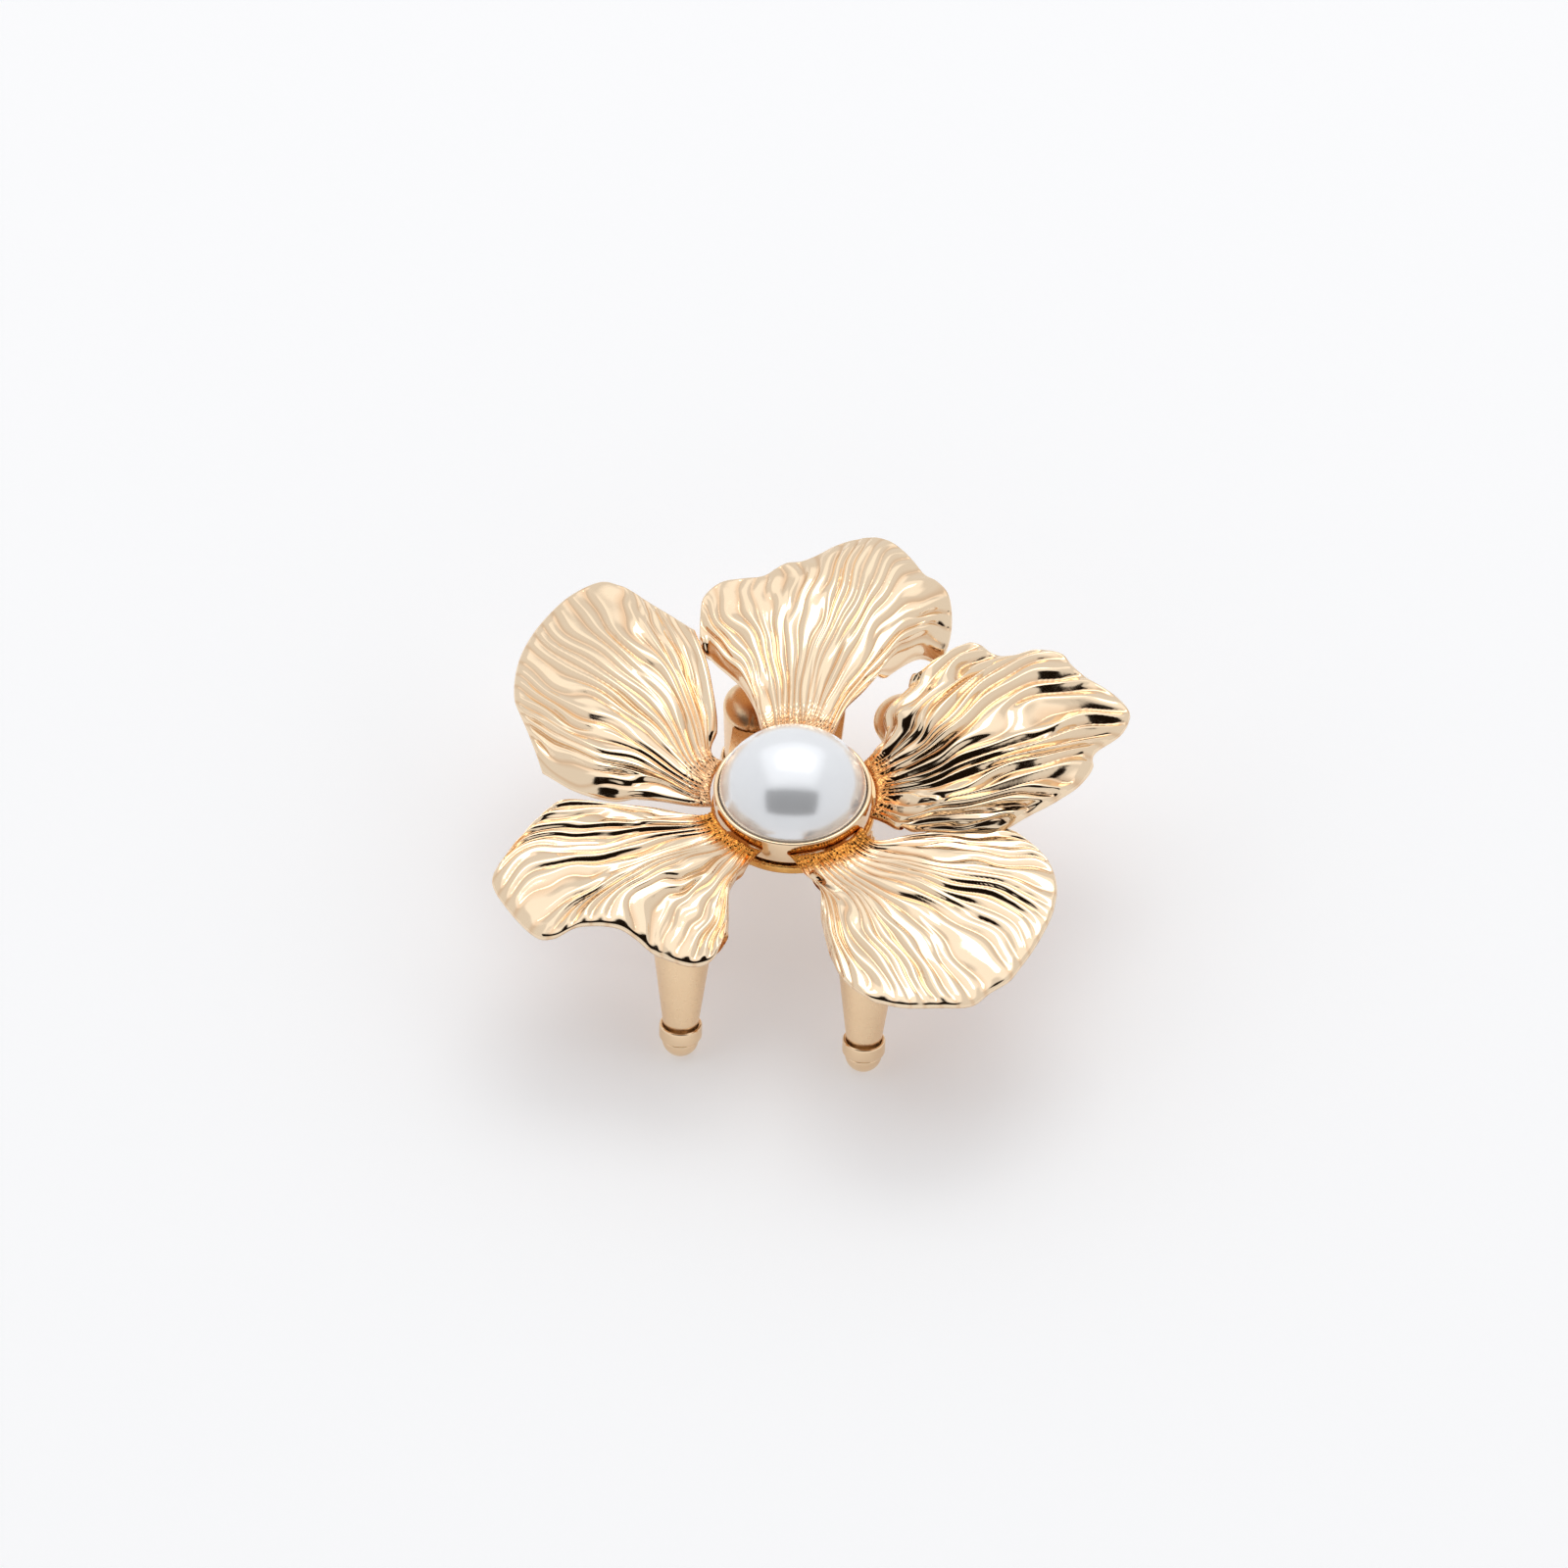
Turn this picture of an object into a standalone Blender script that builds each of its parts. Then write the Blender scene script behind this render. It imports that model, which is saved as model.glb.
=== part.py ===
"""Flower hair claw: five cast petals and a half pearl on a sprung claw with four tapered prongs.

The claw stands on its four tips on the plane z = 0, with +Z up. The hinge axis runs along X, the fixed
jaw is at -Y and the sprung jaw at +Y. Sizes below are millimetres, measured from the flower's own axis,
and the finished object is then centred over the origin.
"""

import math

import bmesh
import bpy
import numpy as np
from mathutils import Matrix, Vector

MM = 0.001

# Clearances between pieces
GAP = 0.3
TIP_FIT = 0.15

# Heights above the standing plane
RIM_Z = 20.0
CUP_HEIGHT = 2.8
HUB_THICKNESS = 1.0
PLATE_THICKNESS = 1.2
HUB_TOP = RIM_Z - CUP_HEIGHT - GAP
HUB_BOTTOM = HUB_TOP - HUB_THICKNESS
SADDLE_TOP = HUB_BOTTOM - GAP
SADDLE_BOTTOM = SADDLE_TOP - PLATE_THICKNESS

# Pearl, its cup and the hub that the petals are brazed to
CUP_RADIUS = 8.1
CUP_WALL = 0.45
CUP_FLOOR = 0.6
PEARL_RADIUS = CUP_RADIUS - CUP_WALL - GAP
PEARL_RISE = 6.0
PEARL_SKIRT = 0.4
HUB_RADIUS = CUP_RADIUS + GAP
RIVET_RADIUS = 1.0
RIVET_HEAD_RADIUS = 2.0
RIVET_HEAD_HEIGHT = 0.5
RIVET_TAIL_RADIUS = 1.9
RIVET_TAIL_HEIGHT = 0.7

# Petals
PETAL_THICKNESS = 1.0
ROOT_RADIUS = HUB_RADIUS + GAP + 0.05
ROOT_Z = HUB_TOP
PETAL_ROWS, PETAL_COLUMNS = 10, 13

# Hinge
HINGE_Y = 1.0
HINGE_Z = 11.0
PIN_RADIUS = 0.9
PIN_HEAD_RADIUS = 1.5
PIN_HEAD_THICKNESS = 0.6
PIN_CLEARANCE = 0.1
KNUCKLE_RADIUS = 2.0
EAR_THICKNESS = 1.2
SADDLE_EAR_X = 6.6
YOKE_EAR_X = 4.8
YOKE_THICKNESS = 1.0
YOKE_TOP = HINGE_Z + 2.6
YOKE_BOTTOM = YOKE_TOP - YOKE_THICKNESS

# Torsion spring
WIRE_RADIUS = 0.35
COIL_RADIUS = 1.6
COIL_TURNS = 6
COIL_HALF_LENGTH = 3.3
POINTS_PER_TURN = 10

# Prongs: a tapered tube, a ferrule ring and a bead on each
TIP_SPACING = 18.8
TIP_REACH = 19.3
PRONG_SLOPE = 0.25
BACK_SIDE_SLOPE = 0.15
BACK_JAW_OFFSET = 1.9
BACK_TIP_HALF = 9.7
PRONG_LENGTH = RIM_Z - 6.1
PRONG_TIP_RADIUS = 1.84
PRONG_TAPER = 0.11
NECK_RADIUS = 1.45
BEAD_RADIUS = 1.9
BEAD_FLAT_DEPTH = 0.12
STEM_RADIUS = 0.9
STEM_HEIGHT = 3.4
RING_RADIUS = 2.2
RING_WALL = 0.4
RING_LOW, RING_HIGH = 0.3, 1.9
TUBE_SHOULDER = RING_HIGH + 0.25
RING_LIP = 0.35
ARM_WIDTH = 3.4
BRAZE_SEAT = 0.8

# Thumb lever under the sprung jaw's plate
LEVER_THICKNESS = 1.0
LEVER_WIDTH = 6.0
LEVER_X = 0.5
LEVER_REACH = 24.0
LEVER_RIVET_Y = 6.7
LEVER_RIVET_HEAD_RADIUS = 1.6
LEVER_RIVET_HEAD_HEIGHT = 0.4

# Facets round a small turned piece and round the cup, pearl and hub
ROUND_STEPS = 20
WIDE_STEPS = 36

# Each petal's outline in (degrees round the flower's axis, radius, height): its two side edges from the
# root outwards, anticlockwise side first, then the free edge from the first side's corner to the second's.
# Heights are those for a cup whose rim is at OUTLINE_RIM_Z, and the petals rise and fall with the rim.
OUTLINE_RIM_Z = 20.0
PETALS = {
    "petal_top": {
        "root": (122, 70),
        "first": [(122, 10.2, 19.2), (124, 13.2, 19.8), (124, 16.6, 20.6), (122, 21.7, 20.6)],
        "second": [(70, 10.2, 19.2), (70, 12.7, 19.6), (63, 16.5, 20.2), (61, 23.3, 19.8), (63, 29.6, 19.0)],
        "edge": [(118, 25.6, 21.2), (107, 28.2, 21.6), (100, 29.8, 21.8), (94, 30.5, 21.6), (85, 33.1, 21.8),
                 (80, 34.0, 21.4), (71, 31.7, 20.6)],
        "crown": 0.8,
    },
    "petal_upper_left": {
        "root": (197, 154),
        "first": [(194, 10.2, 18.8), (189, 14.4, 19.0), (187, 19.1, 18.8), (182, 22.7, 18.4), (177, 26.0, 18.2)],
        "second": [(152, 10.0, 19.3), (137, 12.6, 20.3), (130, 16.0, 21.3), (126, 20.4, 21.8)],
        "edge": [(169, 28.4, 18.6), (161, 31.7, 19.2), (151, 34.1, 20.0), (141, 34.5, 20.6), (133, 33.8, 21.0),
                 (128, 29.4, 21.3), (126, 25.9, 21.6)],
        "crown": 1.4,
    },
    "petal_lower_left": {
        "root": (251, 202),
        "first": [(249, 10.0, 18.4), (248, 13.5, 18.8), (255, 17.0, 18.8), (257, 20.6, 18.6)],
        "second": [(201, 10.0, 18.7), (195, 14.2, 18.8), (192, 18.6, 19.0), (190, 23.3, 19.2), (193, 25.9, 19.0)],
        "edge": [(256, 23.5, 18.0), (251, 25.0, 17.8), (244, 25.4, 18.2), (238, 25.5, 19.2), (233, 26.3, 19.8),
                 (227, 28.7, 19.4), (222, 32.8, 18.2), (214, 33.0, 18.4), (206, 32.9, 18.6), (202, 30.4, 18.8)],
        "crown": 1.2,
    },
    "petal_lower_right": {
        "root": (-26, -73),
        "first": [(-26, 10.0, 18.0), (-20, 12.8, 18.0), (-12, 17.0, 18.0), (-9, 21.0, 18.0), (-10, 24.1, 18.2)],
        "second": [(-73, 10.0, 18.2), (-72, 12.9, 18.6), (-74, 16.6, 18.6), (-74, 21.9, 18.4)],
        "edge": [(-14, 27.7, 18.6), (-19, 29.7, 18.8), (-26, 31.1, 18.8), (-32, 32.1, 18.6), (-41, 33.1, 18.6),
                 (-47, 33.1, 18.4), (-52, 33.4, 18.4), (-57, 32.1, 18.6), (-63, 31.7, 18.8), (-69, 29.0, 18.8),
                 (-72, 25.9, 18.6)],
        "crown": 1.2,
    },
    "petal_upper_right": {
        "root": (38, -14),
        "first": [(40, 10.2, 19.3), (48, 11.9, 20.2), (53, 13.2, 21.2), (55, 15.4, 21.6), (55, 20.4, 22.0),
                  (54, 24.1, 21.8)],
        "second": [(-13, 10.0, 18.9), (-15, 12.4, 19.8), (-12, 16.2, 20.4), (-7, 21.3, 20.2), (0, 24.8, 19.9)],
        "edge": [(51, 26.5, 21.6), (47, 27.3, 21.2), (43, 29.0, 21.2), (40, 31.9, 21.6), (33, 33.0, 21.4),
                 (27, 35.4, 21.0), (23, 36.0, 20.8), (16, 32.2, 20.4), (12, 31.0, 20.2), (6, 28.3, 19.9)],
        "crown": 1.2,
    },
}


def clear_scene():
    """Remove every object of the scene."""
    for old in list(bpy.data.objects):
        bpy.data.objects.remove(old)


def new_collection(name):
    """A collection linked to the scene."""
    made = bpy.data.collections.new(name)
    bpy.context.scene.collection.children.link(made)
    return made


clear_scene()
PARTS = new_collection("flower_hair_claw")
CUTTERS = new_collection("cutters")


def linear(channel):
    """One sRGB channel turned to linear light."""
    return channel / 12.92 if channel <= 0.04045 else ((channel + 0.055) / 1.055) ** 2.4


def material(name, colour, roughness, metallic):
    """A Principled material from an sRGB hex colour."""
    made = bpy.data.materials.new(name)
    made.use_nodes = True
    shader = made.node_tree.nodes["Principled BSDF"]
    channels = [linear(int(colour[i:i + 2], 16) / 255) for i in (1, 3, 5)]
    shader.inputs["Base Color"].default_value = (*channels, 1.0)
    shader.inputs["Roughness"].default_value = roughness
    shader.inputs["Metallic"].default_value = metallic
    return made


POLISHED_GOLD = ("#F1D7B3", 0.12, 1.0)
SATIN_GOLD = ("#E3C49B", 0.3, 1.0)
SPRING_STEEL = ("#B9B6B0", 0.25, 1.0)
PEARL_LACQUER = ("#ECEFF1", 0.18, 0.0)


def dress(obj, finish, parent):
    """Give a finished piece its own material, its collection, smooth shading and its parent."""
    obj.data.materials.clear()
    obj.data.materials.append(material(obj.name, *finish))
    for holder in list(obj.users_collection):
        holder.objects.unlink(obj)
    PARTS.objects.link(obj)
    if obj.type == "MESH":
        obj.data.shade_smooth()
    guides = [step.object for step in obj.modifiers if step.type == "BOOLEAN"]
    for held in [obj] + guides:
        held.parent = parent
        held.matrix_parent_inverse = parent.matrix_world.inverted()
    return obj


def mesh_object(name, mesh):
    """An object holding a mesh, linked with the cutters until it is dressed."""
    obj = bpy.data.objects.new(name, mesh)
    CUTTERS.objects.link(obj)
    return obj


def hide(obj):
    """Mark an object as a cutter or a guide."""
    obj.hide_render = True
    obj.display_type = "WIRE"
    return obj


def pivot(name, place, parent=None):
    """An empty at a place in millimetres."""
    empty = bpy.data.objects.new(name, None)
    PARTS.objects.link(empty)
    empty.location = Vector(place) * MM
    empty.parent = parent
    bpy.context.view_layer.update()
    return empty


def along(direction, place):
    """A matrix that takes local +Z to a direction and the local origin to a place in millimetres."""
    turn = Vector(direction).to_track_quat("Z", "Y").to_matrix().to_4x4()
    return Matrix.Translation(Vector(place) * MM) @ turn


def turned(name, profile, matrix=None, steps=ROUND_STEPS):
    """Turn a profile of (radius, height) points about local Z. It runs down its outer side."""
    points = [(r * MM, 0.0, z * MM) for r, z in profile]
    on_axis = profile[0][0] == 0 and profile[-1][0] == 0
    count = len(points)
    edges = [(i, i + 1) for i in range(count - 1)] + ([] if on_axis else [(count - 1, 0)])
    mesh = bpy.data.meshes.new(name)
    mesh.from_pydata(points, edges, [])
    obj = mesh_object(name, mesh)
    screw = obj.modifiers.new("turn", "SCREW")
    screw.steps = screw.render_steps = steps
    screw.use_merge_vertices = True
    screw.merge_threshold = 0.00001
    obj.matrix_world = matrix or Matrix()
    return obj


def slab(name, outline, low, high, matrix=None):
    """A flat plate: an outline in the local XY plane between two heights, as a welded mesh."""
    curve = bpy.data.curves.new(name, "CURVE")
    curve.dimensions = "2D"
    curve.fill_mode = "BOTH"
    curve.extrude = (high - low) / 2 * MM
    spline = curve.splines.new("POLY")
    spline.points.add(len(outline) - 1)
    for point, (x, y) in zip(spline.points, outline):
        point.co = (x * MM, y * MM, 0.0, 1.0)
    spline.use_cyclic_u = True
    guide = bpy.data.objects.new(name + "_outline", curve)
    CUTTERS.objects.link(guide)
    guide.matrix_world = (matrix or Matrix()) @ Matrix.Translation((0, 0, (low + high) / 2 * MM))
    return welded_mesh(name, guide)


def welded_mesh(name, source):
    """The evaluated shape of an object as a new mesh object in the same place, its caps welded."""
    bpy.context.view_layer.update()
    graph = bpy.context.evaluated_depsgraph_get()
    mesh = bpy.data.meshes.new_from_object(source.evaluated_get(graph))
    mesh.name = name
    work = bmesh.new()
    work.from_mesh(mesh)
    bmesh.ops.remove_doubles(work, verts=work.verts, dist=0.000001)
    bmesh.ops.recalc_face_normals(work, faces=work.faces)
    work.to_mesh(mesh)
    work.free()
    made = mesh_object(name, mesh)
    made.matrix_world = source.matrix_world
    bpy.data.objects.remove(source)
    return made


# Takes local X to +Y, local Y to +Z and local Z to +X, for outlines drawn across the hinge axis.
ACROSS = Matrix(((0, 0, 1, 0), (1, 0, 0, 0), (0, 1, 0, 0), (0, 0, 0, 1)))


def combine(obj, other, operation):
    """Join another shape to an object or cut it away, keeping the other as a hidden guide."""
    step = obj.modifiers.new(operation.lower(), "BOOLEAN")
    step.operation = operation
    step.object = hide(other)
    return obj


def arc(centre, radius, start, end, count=11):
    """Points on an arc, with angles in degrees."""
    angles = np.radians(np.linspace(start, end, count))
    return [(centre[0] + radius * math.cos(a), centre[1] + radius * math.sin(a)) for a in angles]


def through(points, count):
    """Evenly spaced points on a Catmull-Rom curve through the given points."""
    knots = np.asarray(points, float)
    padded = np.vstack([2 * knots[0] - knots[1], knots, 2 * knots[-1] - knots[-2]])
    fine = []
    for a, b, c, d in zip(padded, padded[1:], padded[2:], padded[3:]):
        t = np.linspace(0, 1, 16, endpoint=False)[:, None]
        fine.append(0.5 * (2 * b + (c - a) * t + (2 * a - 5 * b + 4 * c - d) * t**2
                           + (3 * b - a - 3 * c + d) * t**3))
    fine = np.vstack(fine + [knots[-1:]])
    run = np.concatenate([[0], np.cumsum(np.linalg.norm(np.diff(fine, axis=0), axis=1))])
    places = np.linspace(0, run[-1], count)
    return np.stack([np.interp(places, run, fine[:, k]) for k in range(3)], axis=1)


def polar(degrees, radius, height):
    """A point round the flower's axis as (x, y, z)."""
    angle = math.radians(degrees)
    return (radius * math.cos(angle), radius * math.sin(angle), height)


def petal(name, spec, parent):
    """A petal: a patch stretched between its root arc, two side edges and free edge, with a raised crown."""
    first_root, second_root = spec["root"]
    side_a = [polar(first_root, ROOT_RADIUS, ROOT_Z)] + [with_rim(p) for p in spec["first"]]
    side_b = [polar(second_root, ROOT_RADIUS, ROOT_Z)] + [with_rim(p) for p in spec["second"]]
    free = [side_a[-1]] + [with_rim(p) for p in spec["edge"]]
    free.append(side_b[-1])
    left, right = through(side_a, PETAL_ROWS), through(side_b, PETAL_ROWS)
    edge = through(free, PETAL_COLUMNS)
    root_angles = np.linspace(first_root, second_root, PETAL_COLUMNS)
    root = np.array([polar(a, ROOT_RADIUS, ROOT_Z) for a in root_angles])
    s = np.linspace(0, 1, PETAL_ROWS)[:, None, None]
    t = np.linspace(0, 1, PETAL_COLUMNS)[None, :, None]
    across = (1 - t) * left[:, None] + t * right[:, None]
    lengthways = (1 - s) * root[None] + s * edge[None]
    corners = ((1 - s) * ((1 - t) * left[0] + t * right[0]) + s * ((1 - t) * left[-1] + t * right[-1]))
    grid = across + lengthways - corners
    grid[:, :, 2:] += spec["crown"] * np.sin(math.pi * s) * 4 * t * (1 - t)
    mesh = bpy.data.meshes.new(name)
    cells = np.arange(PETAL_ROWS * PETAL_COLUMNS).reshape(PETAL_ROWS, PETAL_COLUMNS)
    quads = np.stack([cells[:-1, :-1], cells[:-1, 1:], cells[1:, 1:], cells[1:, :-1]], axis=-1).reshape(-1, 4)
    mesh.from_pydata((grid.reshape(-1, 3) * MM).tolist(), [], quads.tolist())
    if mean_normal_z(mesh) < 0:
        mesh.flip_normals()
    obj = mesh_object(name, mesh)
    wall = obj.modifiers.new("wall", "SOLIDIFY")
    wall.thickness = PETAL_THICKNESS * MM
    wall.offset = -1.0
    return dress(obj, POLISHED_GOLD, parent)


def with_rim(point):
    """An outline point as (x, y, z), at its height beside the cup's rim."""
    degrees, radius, height = point
    return polar(degrees, radius, height + RIM_Z - OUTLINE_RIM_Z)


def mean_normal_z(mesh):
    """The mean upward part of a mesh's face normals."""
    mesh.update()
    return sum(face.normal.z for face in mesh.polygons)


def flower(parent):
    """The hub, its five petals, the cup, the pearl and the rivet that holds them to the fixed jaw."""
    for name, spec in PETALS.items():
        petal(name, spec, parent)
    bore = RIVET_RADIUS + GAP
    hub = turned("hub_plate", [(bore, HUB_TOP), (HUB_RADIUS, HUB_TOP), (HUB_RADIUS, HUB_BOTTOM),
                               (bore, HUB_BOTTOM)], steps=WIDE_STEPS)
    dress(hub, POLISHED_GOLD, parent)
    cup_bottom = RIM_Z - CUP_HEIGHT
    floor_top = cup_bottom + CUP_FLOOR
    inner = CUP_RADIUS - CUP_WALL
    cup = turned("pearl_cup", [(inner, RIM_Z), (CUP_RADIUS, RIM_Z), (CUP_RADIUS, cup_bottom),
                               (bore, cup_bottom), (bore, floor_top), (inner, floor_top)], steps=WIDE_STEPS)
    dress(cup, POLISHED_GOLD, parent)
    rivet_top = floor_top + GAP + RIVET_HEAD_HEIGHT
    pearl_base = rivet_top + GAP
    widest = pearl_base + PEARL_SKIRT
    dome = [(PEARL_RADIUS * math.cos(a), widest + PEARL_RISE * math.sin(a))
            for a in np.linspace(math.pi / 2, 0, 9)]
    dome[0] = (0.0, widest + PEARL_RISE)
    pearl = turned("pearl", dome + [(PEARL_RADIUS, pearl_base), (0.0, pearl_base)], steps=WIDE_STEPS)
    dress(pearl, PEARL_LACQUER, parent)
    tail_top = SADDLE_BOTTOM - GAP
    rivet = turned("centre_rivet", [
        (0.0, rivet_top), (RIVET_HEAD_RADIUS, rivet_top), (RIVET_HEAD_RADIUS, floor_top + GAP),
        (RIVET_RADIUS, floor_top + GAP), (RIVET_RADIUS, tail_top), (RIVET_TAIL_RADIUS, tail_top),
        (RIVET_TAIL_RADIUS, tail_top - RIVET_TAIL_HEIGHT), (0.0, tail_top - RIVET_TAIL_HEIGHT)])
    dress(rivet, SATIN_GOLD, parent)


def prong_frames():
    """Each prong's name, tip centre and upward direction, with whether it is on the sprung jaw."""
    tip_z = BEAD_RADIUS - BEAD_FLAT_DEPTH
    frames = []
    for side, sign in (("left", -1), ("right", 1)):
        frames.append(("front_" + side, (sign * TIP_SPACING / 2, -TIP_REACH, tip_z),
                       (0.0, PRONG_SLOPE, 1.0), False))
        frames.append(("back_" + side, (BACK_JAW_OFFSET + sign * BACK_TIP_HALF, TIP_REACH, tip_z),
                       (-sign * BACK_SIDE_SLOPE, -PRONG_SLOPE, 1.0), True))
    return frames


def prong(name, centre, direction, parent):
    """A tapered tube with a swaged neck, the ferrule ring round the neck, and the bead pegged into it."""
    seat = along(direction, centre)
    neck_low = RING_LOW + RING_LIP + TIP_FIT
    bore = STEM_RADIUS + TIP_FIT
    top_radius = tube_radius(PRONG_LENGTH)
    tube = turned("prong_" + name, [
        (0.0, PRONG_LENGTH), (top_radius - 0.3, PRONG_LENGTH), (top_radius, PRONG_LENGTH - 0.3),
        (PRONG_TIP_RADIUS, TUBE_SHOULDER), (NECK_RADIUS, TUBE_SHOULDER), (NECK_RADIUS, neck_low), (bore, neck_low),
        (bore, STEM_HEIGHT + GAP), (0.0, STEM_HEIGHT + GAP)], seat)
    dress(tube, SATIN_GOLD, parent)
    hole = STEM_RADIUS + TIP_FIT
    inner = RING_RADIUS - RING_WALL
    ring = turned("ferrule_" + name, [
        (inner, RING_HIGH), (RING_RADIUS - 0.1, RING_HIGH), (RING_RADIUS, RING_HIGH - 0.2),
        (RING_RADIUS, RING_LOW + 0.2), (RING_RADIUS - 0.15, RING_LOW), (hole, RING_LOW),
        (hole, RING_LOW + RING_LIP), (inner, RING_LOW + RING_LIP)], seat)
    dress(ring, POLISHED_GOLD, parent)
    collar = RING_LOW - TIP_FIT
    low = math.asin(collar / BEAD_RADIUS)
    ball = [(BEAD_RADIUS * math.cos(a), BEAD_RADIUS * math.sin(a)) for a in np.linspace(low, -math.pi / 2, 6)]
    ball[-1] = (0.0, -BEAD_RADIUS)
    bead = turned("tip_bead_" + name, [(0.0, STEM_HEIGHT), (STEM_RADIUS, STEM_HEIGHT), (STEM_RADIUS, collar)]
                  + ball, seat)
    ground = slab("ground_" + name, [(centre[0] - 4, centre[1] - 4), (centre[0] + 4, centre[1] - 4),
                                     (centre[0] + 4, centre[1] + 4), (centre[0] - 4, centre[1] + 4)], -4.0, 0.0)
    combine(bead, ground, "DIFFERENCE")
    dress(bead, POLISHED_GOLD, parent)


def tube_radius(height):
    """How wide a prong's tapered tube is at a height up its axis from the bead's centre."""
    return PRONG_TIP_RADIUS + PRONG_TAPER * (height - TUBE_SHOULDER)


def prong_clearance(plate, centre, direction):
    """Cut the end of a jaw's arm to cradle its prong, with the usual gap."""
    above = PRONG_LENGTH + 4
    cutter = turned(plate.name + "_notch", [(0.0, above), (tube_radius(above) + GAP, above),
                                            (tube_radius(0.0) + GAP, 0.0), (0.0, 0.0)],
                    along(direction, centre))
    combine(plate, cutter, "DIFFERENCE")


def axle_cutter(name):
    """A cylinder round the hinge axis that clears the pin."""
    reach = SADDLE_EAR_X + 3
    radius = PIN_RADIUS + PIN_CLEARANCE
    return turned(name, [(0.0, reach), (radius, reach), (radius, -reach), (0.0, -reach)],
                  along((1, 0, 0), (0, HINGE_Y, HINGE_Z)))


def arm_end(height, centre, direction):
    """Where a prong's axis passes a height."""
    rise = height - centre[2]
    return centre[0] + direction[0] / direction[2] * rise, centre[1] + direction[1] / direction[2] * rise


def front_saddle(parent, frames):
    """The fixed jaw's frame: a plate under the hub, two arms to the front prongs and two hinge ears."""
    middle = (SADDLE_TOP + SADDLE_BOTTOM) / 2
    tip_x, tip_y = arm_end(middle, *[f for f in frames if f[0] == "front_right"][0][1:3])
    inner, outer = tip_x - ARM_WIDTH / 2, tip_x + ARM_WIDTH / 2
    ear_in, ear_out = SADDLE_EAR_X - EAR_THICKNESS / 2, SADDLE_EAR_X + EAR_THICKNESS / 2
    back = HINGE_Y + KNUCKLE_RADIUS
    half = [(ear_in, 0.5), (ear_in, back), (ear_out, back), (ear_out, -2.5), (outer, -10.0),
            (outer, tip_y + BRAZE_SEAT), (inner, tip_y + BRAZE_SEAT), (inner, -11.0), (4.5, -6.2)]
    outline = half + [(-x, y) for x, y in reversed(half)]
    saddle = slab("front_saddle", outline, SADDLE_BOTTOM, SADDLE_TOP)
    for sign in (-1, 1):
        ear = [(back, middle), (HINGE_Y - KNUCKLE_RADIUS, middle)]
        ear += arc((HINGE_Y, HINGE_Z), KNUCKLE_RADIUS, 180, 360)
        centre = sign * SADDLE_EAR_X
        combine(saddle, slab("saddle_ear_guide", ear, centre - EAR_THICKNESS / 2, centre + EAR_THICKNESS / 2,
                             ACROSS), "UNION")
    combine(saddle, axle_cutter("saddle_bore"), "DIFFERENCE")
    above, below, hole_radius = SADDLE_TOP + 2, SADDLE_BOTTOM - 2, RIVET_RADIUS + GAP
    rivet_hole = turned("saddle_rivet_hole", [(0.0, above), (hole_radius, above), (hole_radius, below),
                                              (0.0, below)])
    combine(saddle, rivet_hole, "DIFFERENCE")
    hook_y = HINGE_Y - 5.2
    hook_hole = turned("saddle_hook_hole", [(0.0, 2.0), (WIRE_RADIUS + GAP, 2.0), (WIRE_RADIUS + GAP, -2.0),
                                            (0.0, -2.0)], along((0, 0, 1), (-COIL_HALF_LENGTH, hook_y, middle)))
    combine(saddle, hook_hole, "DIFFERENCE")
    for name, centre, direction, sprung in frames:
        if not sprung:
            prong_clearance(saddle, centre, direction)
    dress(saddle, SATIN_GOLD, parent)


def back_yoke(parent, frames):
    """The sprung jaw's frame: a cross plate, two arms to the back prongs and two inner hinge ears."""
    middle = (YOKE_TOP + YOKE_BOTTOM) / 2
    ends = {f[0]: arm_end(middle, f[1], f[2]) for f in frames}
    (left, left_y), (right, right_y) = ends["back_left"], ends["back_right"]
    half = ARM_WIDTH / 2
    front, bar = HINGE_Y + 4.2, HINGE_Y + 7.8
    outline = [(left - half, front), (right + half, front), (right + half, right_y - BRAZE_SEAT),
               (right - half, right_y - BRAZE_SEAT), (right - half, bar), (left + half, bar),
               (left + half, left_y - BRAZE_SEAT), (left - half, left_y - BRAZE_SEAT)]
    yoke = slab("back_yoke", outline, YOKE_BOTTOM, YOKE_TOP)
    knuckle = KNUCKLE_RADIUS - 0.1
    inset = 0.2
    for sign in (-1, 1):
        ear = arc((HINGE_Y, HINGE_Z), knuckle, 90, 300)
        ear += [(bar - 0.8, YOKE_BOTTOM + inset), (bar - 0.8, YOKE_TOP - inset), (front + inset, YOKE_TOP - inset)]
        centre = sign * YOKE_EAR_X
        combine(yoke, slab("yoke_ear_guide", ear, centre - EAR_THICKNESS / 2, centre + EAR_THICKNESS / 2, ACROSS),
                "UNION")
    combine(yoke, axle_cutter("yoke_bore"), "DIFFERENCE")
    hole_radius = RIVET_RADIUS + GAP
    hole = turned("yoke_rivet_hole", [(0.0, 3.0), (hole_radius, 3.0), (hole_radius, -3.0), (0.0, -3.0)],
                  along((0, 0, 1), (LEVER_X, LEVER_RIVET_Y, middle)))
    combine(yoke, hole, "DIFFERENCE")
    for name, centre, direction, sprung in frames:
        if sprung:
            prong_clearance(yoke, centre, direction)
    dress(yoke, SATIN_GOLD, parent)


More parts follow.
